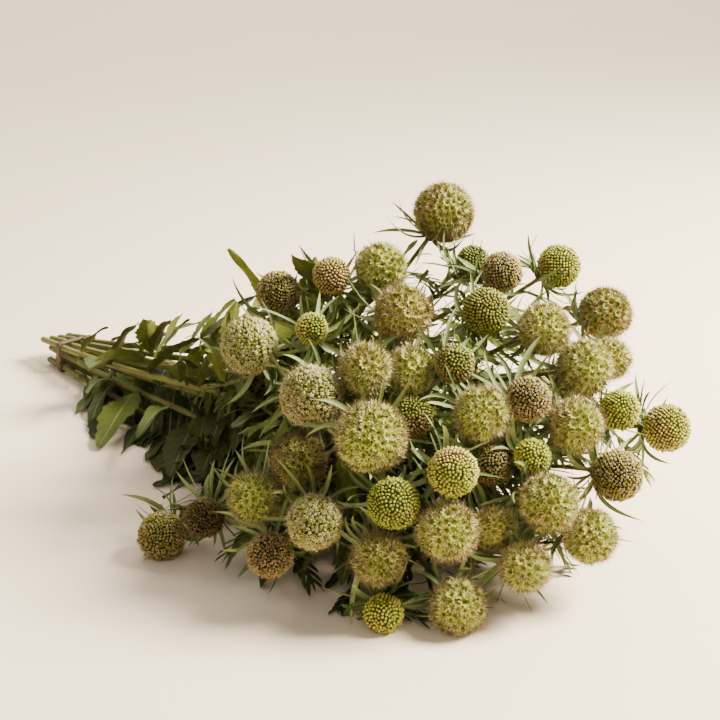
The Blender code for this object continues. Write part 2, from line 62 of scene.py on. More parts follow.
CUT_ENDS = (17.0, 21.0, 25.0)
SEAT = 0.9
HEAD_GAP = 1.2
SIT = 2.0
NEAR_TABLE = 3.0
EASING_PASSES = 300
BUNDLE_HEART = BAND_AT + UP * 15.0
DOME_HEART = np.array([30.0, 175.0, 35.0])
ALONG_STALK = 0.75
STALK_R = 1.25
STALK_SEGMENTS = 4
STALK_BACKS = (95, 125, 70, 155, 50)
FIRST_FORK = 60.0
FORK_TO_TIP = 35.0
DISC_DEEP = 4.5
DISC_ROOM = 4.0
STEP = 2.5
CLEAR = 1.0

# Each seed head: kind, diameter, bearing from the band in degrees, reach from the band, height,
# and how far its green has turned to brown. Most heads get a little painted shade, the heads that
# lie in the shade of the bunch more, and the brightly lit ones none.
HEADS = (
    ("brown", 26, -52.0, 265, 123, 0.75),
    ("bead", 22, -48.0, 290, 135, 0.95),
    ("fuzzy", 32, -59.5, 295, 107, 0.2),
    ("bead", 18, -54.5, 317, 118, 0.3),
    ("papery", 29, -43.5, 306, 138, 0.15),
    ("papery", 30, -49.5, 358, 131, 0.6),
    ("papery", 26, -55.0, 373, 112, 0.5),
    ("papery", 25, -51.5, 379, 106, 0.3),
    ("fuzzy", 33, -59.0, 361, 99, 0.6),
    ("papery", 35, -33.5, 311, 161, 0.45),
    ("bead", 20, -34.0, 333, 135, 0.1),
    ("brown", 24, -36.5, 361, 137, 0.7),
    ("bead", 26, -43.5, 382, 129, 0.3),
    ("bead", 26, -28.5, 373, 130, 0.3),
    ("papery", 31, -28.0, 402, 104, 0.6),
    ("papery", 28, -41.0, 411, 119, 0.2),
    ("papery", 29, -40.5, 429, 106, 0.15),
    ("papery", 23, -34.5, 424, 94, 0.3),
    ("bead", 21, -49.5, 395, 113, 0.6),
    ("papery", 27, -50.0, 421, 95, 0.2),
    ("brown", 24, -46.5, 429, 98, 0.8),
    ("papery", 28, -44.5, 448, 85, 0.35),
    ("bead", 22, -39.5, 450, 82, 0.3),
    ("bead", 27, -34.5, 460, 61, 0.5),
    ("bead", 25, -54.0, 434, 76, 0.45),
    ("brown", 22, -49.5, 427, 68, 0.5),
    ("bead", 19, -48.0, 442, 72, 0.15),
    ("brown", 27, -43.0, 467, 59, 0.5),
    ("papery", 29, -48.5, 458, 57, 0.3),
    ("papery", 27, -46.5, 472, 37, 0.25),
    ("papery", 25, -51.0, 463, 29, 0.3),
    ("papery", 29, -55.0, 440, 49, 0.35),
    ("papery", 22, -51.0, 441, 41, 0.45),
    ("papery", 27, -55.0, 450, 14, 0.35),
    # This head's ripeness is set high partly as painted shade, for the shade of the heads round it.
    ("papery", 28, -61.0, 369, 69, 0.75),
    ("papery", 35, -57.5, 401, 89, 0.3),
    ("papery", 26, -64.5, 363, 51, 0.05),
    ("fuzzy", 28, -62.0, 400, 50, 0.45),
    ("bead", 26, -57.5, 421, 61, 0.2),
    ("brown", 24, -64.5, 383, 28, 1.0),
    ("papery", 25, -59.0, 425, 36, 0.45),
    ("bead", 20, -59.0, 430, 10, 0.3),
    ("brown", 27, -70.5, 311, 14, 0.35),
    ("brown", 22, -67.0, 321, 23, 0.9),
    ("bead", 22, -52.5, 389, 90, 0.5),
    ("papery", 27, -25.5, 380, 52, 0.4),
    ("brown", 25, -31.0, 345, 12, 0.7),
)
# Painted shade: most heads are darkened a little, those in the shade of the bunch more, the brightly
# lit ones not at all.
HEAD_PAINTED_SHADE = 0.15
SHADED_HEADS = {11: 0.75, 13: 0.7, 19: 0.75, 26: 0.65, 35: 0.75, 37: 0.5}
SHADED_HEADS |= {39: 0.4, 41: 0.55, 44: 0.9, 45: 0.65, 47: 0.5}
LIT_HEADS = (1, 4, 8, 12, 16, 17, 18, 23, 27, 33, 43, 46)


def unit(v):
    return v / np.linalg.norm(v)


def unit_rows(rows):
    return rows / np.linalg.norm(rows, axis=1)[:, None]


def turns_round(count):
    """Even turns round a full circle, in radians."""
    return 2 * math.pi * np.arange(count) / count


def bearing_vector(degrees):
    a = math.radians(degrees)
    return np.array([math.cos(a), math.sin(a), 0.0])


def across(direction):
    """Two unit vectors square to a direction, the second one as near upright as it can be."""
    upright = UP if abs(direction[2]) < 0.95 else np.array([0.0, 1.0, 0.0])
    side = unit(np.cross(upright, direction))
    return side, np.cross(direction, side)


def round_about(direction, turn):
    """The unit vector square to a direction at this turn in radians."""
    side, ahead = across(direction)
    return side * math.cos(turn) + ahead * math.sin(turn)


def bezier(p0, p1, p2, p3, count):
    t = np.linspace(0, 1, count)[:, None]
    return (1 - t) ** 3 * p0 + 3 * (1 - t) ** 2 * t * p1 + 3 * (1 - t) * t**2 * p2 + t**3 * p3


def run_of(line):
    """The distance along a line at each of its points."""
    return np.concatenate([[0.0], np.cumsum(np.linalg.norm(np.diff(line, axis=0), axis=1))])


def at_run(line, distance):
    run = run_of(line)
    return np.array([np.interp(distance, run, line[:, k]) for k in range(3)])


def spot_on(line, distance, ahead=5.0):
    """The point at this distance along a line, and the way the line goes on from there."""
    at = at_run(line, distance)
    return at, unit(at_run(line, distance + ahead) - at)


def samples(points):
    """Points at an even step along a line."""
    points = np.asarray(points)
    run = run_of(points)
    at = np.linspace(0, run[-1], max(2, int(run[-1] / STEP) + 1))
    return np.column_stack([np.interp(at, run, points[:, k]) for k in range(3)])


class Taken:
    """The room that is taken, as balls along every part placed so far. Later parts keep off it."""

    def __init__(self):
        self.centres = np.zeros((0, 3))
        self.radii = np.zeros(0)
        self.owners = np.zeros(0, int)

    def add(self, points, radius, owner):
        count = len(points)
        self.centres = np.vstack([self.centres, points])
        self.radii = np.concatenate([self.radii, np.full(count, float(radius))])
        self.owners = np.concatenate([self.owners, np.full(count, owner)])

    def room(self, points, radius, own):
        """The least gap between these balls and what other owners have taken."""
        margin = radius + 25
        low, high = points.min(0) - margin, points.max(0) + margin
        near = ((self.centres > low) & (self.centres < high)).all(1)
        near &= ~np.isin(self.owners, own)
        if not near.any():
            return math.inf
        apart = np.linalg.norm(points[:, None] - self.centres[None, near], axis=2)
        return float((apart - self.radii[near] - radius).min())


def head_owner(i):
    return 100 + i


def disc_owner(i):
    return 200 + i


def head_centres():
    """Where each ball lies, once balls that touch are eased apart and low ones sit on the table."""
    centres, radii = [], []
    for _, diameter, bearing, reach, height, _ in HEADS:
        centres.append(BAND_AT + bearing_vector(bearing) * reach + UP * height)
        radii.append(diameter / 2)
    centres, radii = np.array(centres), np.array(radii)
    low = centres[:, 2] < radii + NEAR_TABLE
    for _ in range(EASING_PASSES):
        for i in range(len(radii)):
            away = centres[i] - centres
            apart = np.linalg.norm(away, axis=1)
            apart[i] = math.inf
            over = radii[i] + radii + HEAD_GAP - apart
            for j in np.nonzero(over > 0)[0]:
                shift = away[j] / apart[j] * over[j] * 0.5
                centres[i] += shift
                centres[j] -= shift
        centres[low, 2] = radii[low] - SIT
        centres[:, 2] = np.maximum(centres[:, 2], radii - SIT)
    return centres, radii


def head_axes():
    """The way each head faces: outwards from the heart of the dome, and on along its stalk."""
    axes = []
    for centre in centres:
        axis = unit(centre - DOME_HEART) + ALONG_STALK * unit(centre - BUNDLE_HEART)
        if centre[2] < 30:
            axis[2] = max(axis[2], 0.0)
        axes.append(unit(axis))
    return np.array(axes)


def stem_groups():
    """The heads of each stem: four fans side by side, each in three layers from the table up."""
    from_band = centres - BUNDLE_HEART
    bearings = np.arctan2(from_band[:, 1], from_band[:, 0])
    climbs = from_band[:, 2] / np.linalg.norm(from_band[:, :2], axis=1)
    groups = []
    for fan in np.array_split(np.argsort(bearings), COLUMNS):
        for layer in np.array_split(fan[np.argsort(climbs[fan])], ROWS):
            groups.append([int(i) for i in layer])
    return groups


def slot(number):
    """A stem's place in the bundle, inside the band. The columns run from the fan's left."""
    column, row = divmod(number, ROWS)
    offset = (column - (COLUMNS - 1) / 2) * SLOT_WIDE + (row % 2 - 0.5) * SLOT_WIDE * 0.45
    height = BAND_THICK + GAP + STEM_R + row * SLOT_HIGH
    return BAND_AT + bearing_vector(FAN_BEARING + 90) * offset + UP * height


def bows(reach):
    """Ways to bow a line at its two handles, the straightest first."""
    turns = [np.zeros(2)]
    for share in (0.035, 0.075, 0.13):
        for k in range(8):
            a = math.radians(45 * k)
            turns.append(np.array([math.cos(a), math.sin(a)]) * share * reach)
    pairs = [(a, b) for a in turns for b in turns]
    return sorted(pairs, key=lambda pair: np.linalg.norm(pair[0]) + np.linalg.norm(pair[1]))


def clear_route(start, leave, end, arrive, segments, radius, own):
    """The line from start to end that keeps off other parts, and the room that it keeps."""
    reach = np.linalg.norm(end - start)
    side, upright = across((end - start) / reach)
    best, most = None, -math.inf
    for first, second in bows(reach):
        p1 = start + leave * reach * 0.36 + side * first[0] + upright * first[1]
        p2 = end - arrive * reach * 0.26 + side * second[0] + upright * second[1]
        line = bezier(start, p1, p2, end, segments + 1)
        line[1:-1, 2] = np.maximum(line[1:-1, 2], radius + 0.4)
        room = taken.room(samples(line)[2:], radius, own)
        if room > most:
            best, most = line, room
        if room >= CLEAR:
            break
    return best, most


def main_stem(number, lead):
    """The line of a stem, from its cut end through the band to its farthest head."""
    fan = bearing_vector(FAN_BEARING)
    at = slot(number)
    end = stalk_ends[lead]
    leave = unit(unit(end - at) + fan * 0.8)
    own = (number, head_owner(lead), disc_owner(lead))
    start = at + fan * BAND_WIDTH
    line, _ = clear_route(start, leave, end, axes[lead], STEM_SEGMENTS, STEM_R, own)
    held = at - fan * BAND_WIDTH
    cut = held - leave * CUT_ENDS[number % len(CUT_ENDS)]
    cut[2] = max(cut[2], STEM_R + 0.1)
    line = np.vstack([cut, held, line])
    taken.add(samples(line), STEM_R, number)
    return line


def side_stalk(number, i, stem):
    """The line of the stalk that forks off a stem and carries one more head."""
    end = stalk_ends[i]
    own = (number, head_owner(i), disc_owner(i))
    best, most = None, -math.inf
    for back in STALK_BACKS:
        fork = max(FIRST_FORK, np.linalg.norm(end - stem[1]) - back)
        root, way = spot_on(stem, min(fork, run_of(stem)[-1] - FORK_TO_TIP))
        leave = unit(way + unit(end - root) * 0.6)
        line, room = clear_route(root, leave, end, axes[i], STALK_SEGMENTS, STALK_R, own)
        if room > most:
            best, most = line, room
        if room >= CLEAR:
            break
    taken.add(samples(best), STALK_R, number)
    return best


def outline(points):
    """The outer corners of a flat set of points, anticlockwise."""
    points = sorted({(round(x, 4), round(y, 4)) for x, y in points})

    def half(ordered):
        chain = []
        for p in ordered:
            while len(chain) > 1:
                (ax, ay), (bx, by) = chain[-2:]
                if (bx - ax) * (p[1] - ay) > (by - ay) * (p[0] - ax):
                    break
                chain.pop()
            chain.append(p)
        return chain[:-1]

    return np.array(half(points) + half(points[::-1]))


def band_loop():
    """The loop that the band makes round the bundle, as distances sideways and up."""
    side = bearing_vector(FAN_BEARING + 90)
    rims = []
    for number in range(COLUMNS * ROWS):
        at = slot(number) - BAND_AT
        for a in np.linspace(0, 2 * math.pi, 12, endpoint=False):
            reach, rise = math.cos(a) * (STEM_R + GAP), math.sin(a) * (STEM_R + GAP)
            rims.append((at @ side + reach, at[2] + rise))
    return outline(rims)


def band_shift():
    """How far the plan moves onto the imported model, read from the low corner of the band."""
    fan, side = bearing_vector(FAN_BEARING), bearing_vector(FAN_BEARING + 90)
    loop = band_loop()
    heart = loop.mean(axis=0)
    spots = []
    for corner in loop:
        x = (corner + unit(corner - heart) * BAND_THICK)[0]
        for forwards in (-BAND_WIDTH / 2, BAND_WIDTH / 2):
            spots.append(BAND_AT + side * x + fan * forwards)
    low = np.array(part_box("band")[0]) / METRE
    return (low - np.min(spots, axis=0)) * [1, 1, 0]


shift = band_shift()
centres, radii = head_centres()
axes = head_axes()
stalk_ends = centres - axes * (radii * SEAT + GAP + DISC_DEEP)[:, None]
taken = Taken()
for i, (centre, radius) in enumerate(zip(centres, radii)):
    taken.add(centre[None], radius, head_owner(i))
    taken.add((centre - axes[i] * (radius + 3))[None], DISC_ROOM, disc_owner(i))
groups = stem_groups()
stems, stalks = [], []
for number, members in enumerate(groups):
    reaches = np.linalg.norm(centres[members] - slot(number), axis=1)
    members.insert(0, members.pop(int(np.argmax(reaches))))
    stems.append(main_stem(number, members[0]))
for number, members in enumerate(groups):
    for i in members:
        if i != members[0]:
            stalks.append((number, side_stalk(number, i, stems[number])))
        taken.add(samples([stalk_ends[i], stalk_ends[i] + axes[i] * DISC_DEEP]), 2.8, number)
stem_and_head = [(number, i) for number, members in enumerate(groups) for i in members]


class Growth:
    """The triangles of one piece, with marks on each point that its materials read: how near it is
    to a tip, a tone of its own, how far it is to one side, how ripe it is, and its painted shade."""

    def __init__(self, painted_shade=0.0):
        self.points, self.triangles, self.finishes, self.marks, self.ripes = [], [], [], [], []
        self.count = 0
        self.painted_shade = painted_shade

    def add(self, points, triangles, tip, tone=0.5, side=0.5, finish=0, ripe=0.0):
        marks = np.zeros((len(points), 3))
        marks[:, 0], marks[:, 1], marks[:, 2] = tip, tone, side
        self.ripes.append(ripe + np.zeros(len(points)))
        self.points.append(np.asarray(points, float))
        self.triangles.append(np.asarray(triangles, int) + self.count)
        self.finishes.append(np.full(len(triangles), finish))
        self.marks.append(marks)
        self.count += len(points)

    def piece(self, name, node, finish_slot, finishes):
        points = np.concatenate(self.points)
        points[:, 2] = np.maximum(points[:, 2], 0.05)
        triangles = np.concatenate(self.triangles)
        mesh = bpy.data.meshes.new(name)
        mesh.vertices.add(len(points))
        mesh.vertices.foreach_set("co", ((points + shift) * METRE).ravel())
        mesh.loops.add(triangles.size)
        mesh.loops.foreach_set("vertex_index", triangles.ravel())
        mesh.polygons.add(len(triangles))
        mesh.polygons.foreach_set("loop_start", np.arange(0, triangles.size, 3))
        mesh.polygons.foreach_set("material_index", np.concatenate(self.finishes))
        mesh.polygons.foreach_set("use_smooth", np.ones(len(triangles), bool))
        for finish in finishes:
            mesh.materials.append(finish)
        marks = mesh.attributes.new("marks", "FLOAT_VECTOR", "POINT")
        marks.data.foreach_set("vector", np.concatenate(self.marks).ravel())
        # The piece's painted shade, as a mark that darkens its colour.
        painted_shades = np.full(len(points), self.painted_shade)
        for mark_name, values in (("ripe", np.concatenate(self.ripes)), ("painted_shade", painted_shades)):
            mesh.attributes.new(mark_name, "FLOAT", "POINT").data.foreach_set("value", values)
        mesh.update(calc_edges=True)
        made = bpy.data.objects.new(name, mesh)
        bpy.context.scene.collection.objects.link(made)
        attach(made, "root")
        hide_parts(node)
        return made


def grid_triangles(rows, columns, closed):
    """The triangles between rows of points. Closed rows join their last column to the first."""
    triangles = []
    for r in range(rows - 1):
        for c in range(columns if closed else columns - 1):
            a, b = r * columns + c, r * columns + (c + 1) % columns
            triangles += [(a, b, b + columns), (a, b + columns, a + columns)]
    return np.array(triangles)


def fan_triangles(first, count, hub):
    """The triangles from a closed ring of points, by the number of its first, to one hub."""
    return [(first + k, first + (k + 1) % count, hub) for k in range(count)]


def smoothed(line, times):
    """A smooth line through the same points, with this many steps for each one."""
    line = np.asarray(line)
    ahead = np.vstack([2 * line[0] - line[1], line, 2 * line[-1] - line[-2]])
    parts = []
    for k in range(len(line) - 1):
        a, b, c, d = ahead[k : k + 4]
        t = np.linspace(0, 1, times, endpoint=False)[:, None]
        second = 2 * a - 5 * b + 4 * c - d
        parts.append(b + 0.5 * t * (c - a + t * (second + t * (3 * (b - c) + d - a))))
    return np.vstack(parts + [line[-1:]])


def rod(growth, line, radii, sides, tone, ribs=0.0, finish=0):
    """A round stem along a line, with a rib on every second side, carried along without twist."""
    ways = unit_rows(np.gradient(line, axis=0))
    side = across(ways[0])[0]
    turns = turns_round(sides)
    points = []
    for at, way, radius in zip(line, ways, radii):
        side = unit(side - way * (side @ way))
        ahead = np.cross(way, side)
        reach = radius * (1 + ribs * (np.arange(sides) % 2))
        outs = np.outer(np.cos(turns), side) + np.outer(np.sin(turns), ahead)
        points.append(at + outs * reach[:, None])
    run = run_of(line)
    tips = np.repeat(run / run[-1], sides)
    sideways = np.tile(np.arange(sides) / sides, len(line))
    triangles = grid_triangles(len(line), sides, True)
    growth.add(np.vstack(points), triangles, tips, tone, sideways, finish)


def end_cap(growth, at, way, radius, sides, tone, finish):
    """The cut face of a stem, slightly dished."""
    rings = [(1.0, 0.0), (0.72, 0.12), (0.3, 0.3)]
    points, tips = [], []
    for reach, dish in rings:
        for turn in turns_round(sides):
            points.append(at + round_about(way, turn) * radius * reach + way * dish)
            tips.append(1 - reach)
    points.append(at + way * 0.35)
    tips.append(1.0)
    triangles = grid_triangles(len(rings), sides, True).tolist()
    last = (len(rings) - 1) * sides
    triangles += fan_triangles(last, sides, last + sides)
    growth.add(points, triangles, tips, tone, 0.5, finish)


class Socket:
    """An output in a material's nodes. Plain maths on it adds the Math nodes."""

    def __init__(self, tree, output=None):
        self.tree = tree
        self.output = output

    def node(self, kind, settings, inputs, output=0):
        """A node of this kind, with its settings first and then its sockets' values or links."""
        made = self.tree.nodes.new(kind)
        for name, value in settings.items():
            setattr(made, name, value)
        for name, value in inputs.items():
            if isinstance(value, Socket):
                self.tree.links.new(value.output, made.inputs[name])
            else:
                made.inputs[name].default_value = value
        return Socket(self.tree, made.outputs[output])

    def maths(self, operation, *values):
        """A Math node on one value or two."""
        return self.node("ShaderNodeMath", {"operation": operation}, dict(enumerate(values)))

    def __add__(self, other):
        return self.maths("ADD", self, other)

    __radd__ = __add__

    def __mul__(self, other):
        return self.maths("MULTIPLY", self, other)

    __rmul__ = __mul__

    def __sub__(self, other):
        return self.maths("SUBTRACT", self, other)

    def __rsub__(self, other):
        return self.maths("SUBTRACT", other, self)

    def between(self, low, high):
        """0 below low, 1 above high, and smooth between."""
        inputs = {"Value": self, "From Min": low, "From Max": high}
        return self.node("ShaderNodeMapRange", {"interpolation_type": "SMOOTHSTEP"}, inputs)

    def mix(self, first, second):
        """The first colour where this is 0, the second where it is 1."""
        colours = [c if isinstance(c, Socket) else (*c, 1.0) for c in (first, second)]
        settings = {"data_type": "RGBA", "clamp_factor": True}
        return self.node("ShaderNodeMix", settings, {0: self, 6: colours[0], 7: colours[1]}, 2)

    def tinted(self, factor, colour):
        """This colour multiplied by another, as far as the factor says."""
        settings = {"data_type": "RGBA", "blend_type": "MULTIPLY"}
        return self.node("ShaderNodeMix", settings, {0: factor, 6: self, 7: (*colour, 1.0)}, 2)


def finish_of(name, roughness, specular=0.3):
    """A new material's node tree, and the Principled shader in it."""
    made = bpy.data.materials.new(name)
    made.use_nodes = True
    shader = made.node_tree.nodes["Principled BSDF"]
    shader.inputs["Roughness"].default_value = roughness
    shader.inputs["Specular IOR Level"].default_value = specular
    return made, Socket(made.node_tree), shader


def feed(paint, shader, name, value):
    paint.tree.links.new(value.output, shader.inputs[name])


def attribute(paint, name, output="Fac"):
    return paint.node("ShaderNodeAttribute", {"attribute_name": name}, {}, output)


def mark(paint, which):
    """One of a point's marks: X is how near it is to a tip, Y its tone, Z how far to one side."""
    marks = attribute(paint, "marks", "Vector")
    return paint.node("ShaderNodeSeparateXYZ", {}, {0: marks}, "XYZ".index(which))


def speckle(paint, scale, detail=3.0):
    """A cloudy value over the piece, its scale in marks per metre."""
    place = paint.node("ShaderNodeTexCoord", {}, {}, "Object")
    inputs = {"Vector": place, "Scale": scale, "Detail": detail}
    return paint.node("ShaderNodeTexNoise", {}, inputs, "Fac")


def bump(paint, shader, height, distance):
    inputs = {"Height": height, "Distance": distance, "Strength": 1.0}
    feed(paint, shader, "Normal", paint.node("ShaderNodeBump", {}, inputs))


def stem_finish():
    made, paint, shader = finish_of("stem_skin", 0.55)
    tone, sideways = mark(paint, "Y"), mark(paint, "Z")
    patches = speckle(paint, 60).between(0.35, 0.7)
    streaks = paint.maths("SINE", sideways * 50.0 + speckle(paint, 300) * 5)
    colour = tone.mix((0.07, 0.08, 0.014), (0.18, 0.18, 0.035))
    colour = (patches * 0.6).mix(colour, (0.15, 0.115, 0.03))
    colour = (streaks.between(0.2, 1.0) * 0.6).mix(colour, (0.20, 0.21, 0.045))
    colour = speckle(paint, 900).between(0.58, 0.75).mix(colour, (0.11, 0.07, 0.02))
    feed(paint, shader, "Base Color", colour)
    feed(paint, shader, "Roughness", speckle(paint, 400) * 0.3 + 0.4)
    bump(paint, shader, speckle(paint, 700) + streaks * 0.3, 0.0003)
    return made


def cut_finish():
    made, paint, shader = finish_of("cut_pith", 0.8)
    pith = (mark(paint, "X") + speckle(paint, 900) * 0.2).between(0.25, 0.6)
    colour = pith.mix((0.15, 0.13, 0.03), (0.50, 0.44, 0.22))
    feed(paint, shader, "Base Color", colour)
    bump(paint, shader, speckle(paint, 1500), 0.0002)
    return made


STEM_SIDES = 14
STALK_SIDES = 10
STEM_FINISHES = [stem_finish(), cut_finish()]
stem_draw = np.random.default_rng(21)
stem_growths = [Growth() for _ in stems]
for number, stem in enumerate(stems):
    line = smoothed(stem, 7)
    t = run_of(line) / run_of(line)[-1]
    thickness = STEM_R + (STALK_R + 0.1 - STEM_R) * t
    nodes_along = 0.22 * np.exp(-((((t * 6.5 + stem_draw.uniform()) % 1) - 0.5) / 0.035) ** 2)
    tone = stem_draw.uniform(0.2, 1.0)
    rod(stem_growths[number], line, thickness * (0.97 + nodes_along), STEM_SIDES, tone, 0.07)
    way = unit(line[0] - line[1])
    end_cap(stem_growths[number], line[0], way, STEM_R, STEM_SIDES, tone, 1)
for number, stalk in stalks:
    line = smoothed(stalk, 8)
    t = np.linspace(0, 1, len(line))
    tone = stem_draw.uniform(0.3, 1.0)
    rod(stem_growths[number], line, STALK_R * (1.12 - 0.2 * t), STALK_SIDES, tone, 0.06)

# The bracts: a whorl of narrow, grey-green, finely haired leaves round the small disc on which
# each head sits. They are folded along the middle, spread sideways and curl at the tip.
DISC_R = 3.4
DISC_RIM = 1.5
DISC_STATIONS = 9
BRACTS = 6
BRACT_LONG = (19.0, 29.0)
BRACT_WIDE = 2.9
BRACT_THICK = 0.95
BRACT_CLEAR = 0.45
BRACT_LEAVES_AT = 14
EXTRA_BRACTS = 14
BRACT_STATIONS = 11
LEAF_CLEAR = 0.6
LEAVES = (
    (1, 80, 170, "lance", 46),
    (1, 112, 200, "toothed", 66),
    (1, 150, 170, "lance", 56),
    (1, 185, 215, "toothed", 66),
    (1, 225, 290, "lobed", 58),
    (2, 95, 150, "lance", 50),
    (2, 130, 190, "toothed", 70),
    (2, 175, 160, "lance", 62),
    (2, 205, 210, "toothed", 62),
    (2, 270, 200, "lobed", 60),
    (3, 60, 80, "lance", 42),
    (3, 105, 140, "toothed", 58),
    (3, 150, 60, "toothed", 60),
    (3, 190, 120, "lance", 60),
    (3, 215, 120, "lobed", 58),
    (4, 135, 270, "lance", 58),
    (4, 190, 330, "toothed", 60),
    (4, 290, 200, "lobed", 60),
    (5, 110, 340, "lance", 60),
    (5, 240, 120, "lobed", 60),
    (6, 90, 90, "lance", 48),
    (6, 150, 120, "toothed", 64),
    (6, 200, 70, "lance", 56),
    (6, 235, 80, "lobed", 60),
    (7, 150, 290, "lance", 62),
    (7, 250, 220, "toothed", 58),
    (8, 175, 160, "lance", 58),
    (8, 275, 90, "lobed", 58),
    (9, 120, 100, "lance", 52),
    (9, 180, 80, "toothed", 62),
    (9, 270, 120, "lobed", 60),
    (10, 115, 240, "lance", 58),
    (10, 205, 210, "toothed", 58),
    (10, 290, 240, "lobed", 54),
    (11, 145, 10, "lance", 60),
    (11, 250, 20, "lobed", 58),
    (12, 100, 40, "lance", 52),
    (12, 160, 80, "toothed", 64),
    (12, 255, 20, "lobed", 58),
)
LEAF_STATIONS = {"lance": 5, "toothed": 8, "lobed": 5, "narrow": 3}
LEAF_SHORTER = (1.0, 0.85, 0.7, 0.55)
LEAF_SWINGS = (0, 20, -20, 40, -40, 65, -65, 90, -90, 120, -120, 150, -150, 180)
LEAF_DROOPS = (0.55, 0.2, 0.9, -0.2)
FORK_LEAF = (48, 80)


def stem_pieces(kind, growths, finishes):
    for number, growth in enumerate(growths):
        growth.piece(f"{kind}_{number + 1:02d}", f"leafy_stem_{number + 1:02d}", "stem", finishes)


def upper_side(first, upright=UP):
    """The way that a leaf's upper side faces, square to the way that it leaves its stem."""
    return np.cross(np.cross(first, upright), first)


def tapered(t, full, foot, power, least=0.05):
    """The share of its full width that a narrow blade has along its length."""
    return np.clip(full * (foot + t) * (1 - t**power), least, 1)


def bent_path(start, first, last, length, count):
    """A line that leaves one way and turns steadily to another, and that stops at the table."""
    t = np.linspace(0, 1, count)[:, None]
    line = start + length * (first * t + (last - first) * t**2 / 2)
    line[1:, 2] = np.maximum(line[1:, 2], BRACT_THICK + 0.6)
    return line


def leaf_widths(kind, length, count):
    """The width of a leaf at each station, from its stalk to its tip."""
    t = np.linspace(0, 1, count)
    if kind == "narrow":
        return np.array([2.2, 3.8, 0.0])
    if kind == "lance":
        return length * (0.05 + 0.17 * np.sin(np.pi * t**0.8))
    if kind == "toothed":
        teeth = np.where(np.arange(count) % 2 == 0, 1.0, 0.72)
        return length * (0.045 + 0.38 * np.sin(np.pi * t**0.9) * teeth)
    return length * (0.05 + 0.03 * np.sin(np.pi * t))


def leaf_samples(line, widths, face_up):
    sides = np.array([unit(np.cross(way, face_up)) for way in np.gradient(line, axis=0)])
    parts = [samples(line)]
    for share in (-0.46, -0.23, 0.23, 0.46):
        parts.append(samples(line + sides * (widths * share)[:, None]))
    return np.vstack(parts)[2:]


def clear_leaf(root, stem_way, turn, kind, length, owner):
    """A leaf that droops from its stem and keeps off other parts, as its root, its first and last
    directions, its length and the way it faces."""
    for shorter in LEAF_SHORTER:
        for swing in LEAF_SWINGS:
            for droop in LEAF_DROOPS:
                out = round_about(stem_way, math.radians(turn + swing))
                first = unit(stem_way * 0.62 + out * 0.78)
                last = unit(first - UP * droop)
                line = bent_path(root, first, last, length * shorter, LEAF_STATIONS[kind])
                face_up = unit(upper_side(first, UP + out * 0.3))
                widths = leaf_widths(kind, length * shorter, len(line))
                taking = leaf_samples(line, widths, face_up)
                if taken.room(taking, 1.2, owner) > LEAF_CLEAR:
                    taken.add(taking, 1.2, owner)
                    return root, first, last, length * shorter, face_up
    return None


def leaning(out, axis, degrees):
    """The direction that leans back from outwards, away from the way the head faces."""
    return out * math.cos(math.radians(degrees)) - axis * math.sin(math.radians(degrees))


def clear_bract(i, root, turn, lean, length, own):
    """The line of one bract: bent, swung or shortened until it keeps clear."""
    for shorter in (1.0, 0.8, 0.62):
        for bend in (lean, lean + 25, lean - 25, lean + 50, lean + 75):
            for swing in (0.0, 0.25, -0.25):
                out = round_about(axes[i], turn + swing)
                first, last = leaning(out, axes[i], BRACT_LEAVES_AT), leaning(out, axes[i], bend)
                line = bent_path(root, first, last, length * shorter, 3)
                taking = samples(line)[1:]
                from_ball = np.linalg.norm(taking - centres[i], axis=1).min() - radii[i]
                if from_ball > 1.2 and taken.room(taking, 1.5, own) > BRACT_CLEAR:
                    return line
    return None


def middle_of_rim(i):
    return centres[i] - axes[i] * (radii[i] * SEAT + GAP + DISC_RIM / 2)


def bract_lines(i, number, offset, draw):
    """A ring of bracts under a head, each clear of its neighbours."""
    lines = []
    for k in range(BRACTS):
        length = draw.uniform(*BRACT_LONG)
        lean = draw.uniform(-25, 45)
        turn = offset + 2 * math.pi * (k + 0.5) / BRACTS
        root = middle_of_rim(i) + round_about(axes[i], turn) * DISC_R * 0.92
        line = clear_bract(i, root, turn, lean, length, (number, disc_owner(i)))
        if line is not None:
            lines.append(line)
            taken.add(samples(line)[2:], 1.3, number)
    return lines


def off_heads(points, gap):
    """Moves points out of every head, to this far off its surface."""
    for centre, radius in zip(centres, radii):
        away = points - centre
        apart = np.linalg.norm(away, axis=1)
        over = np.maximum(radius + gap - apart, 0.0)
        points = points + away / apart[:, None] * over[:, None]
    return points


def runs_into_head(points, allowed):
    """Whether a line goes deeper than this into any head."""
    apart = np.linalg.norm(points - centres[:, None], axis=2)
    return (radii[:, None] - apart).max() > allowed


def curve_through(three, count):
    """The even curve through a line's root, middle and tip."""
    t = np.linspace(0, 1, count)[:, None]
    root, middle, tip = three
    return root * (1 - t) * (1 - 2 * t) + middle * 4 * t * (1 - t) + tip * t * (2 * t - 1)


def ribbon(growth, line, widths, face_up, columns, fold, tone):
    """A thin leaf along a line, folded up along its middle. Its edges carry the side mark."""
    ways = np.gradient(line, axis=0)
    points, tips, sideways = [], [], []
    for k, (at, way, width) in enumerate(zip(line, ways, widths)):
        side = unit(np.cross(way, face_up))
        over = unit(np.cross(side, way))
        for share in np.linspace(-1, 1, columns):
            lift = abs(share) * fold * width / 2 - 0.2
            points.append(at + side * share * width / 2 + over * lift)
            tips.append(k / (len(line) - 1))
            sideways.append((share + 1) / 2)
    growth.add(points, grid_triangles(len(line), columns, False), tips, tone, sideways)


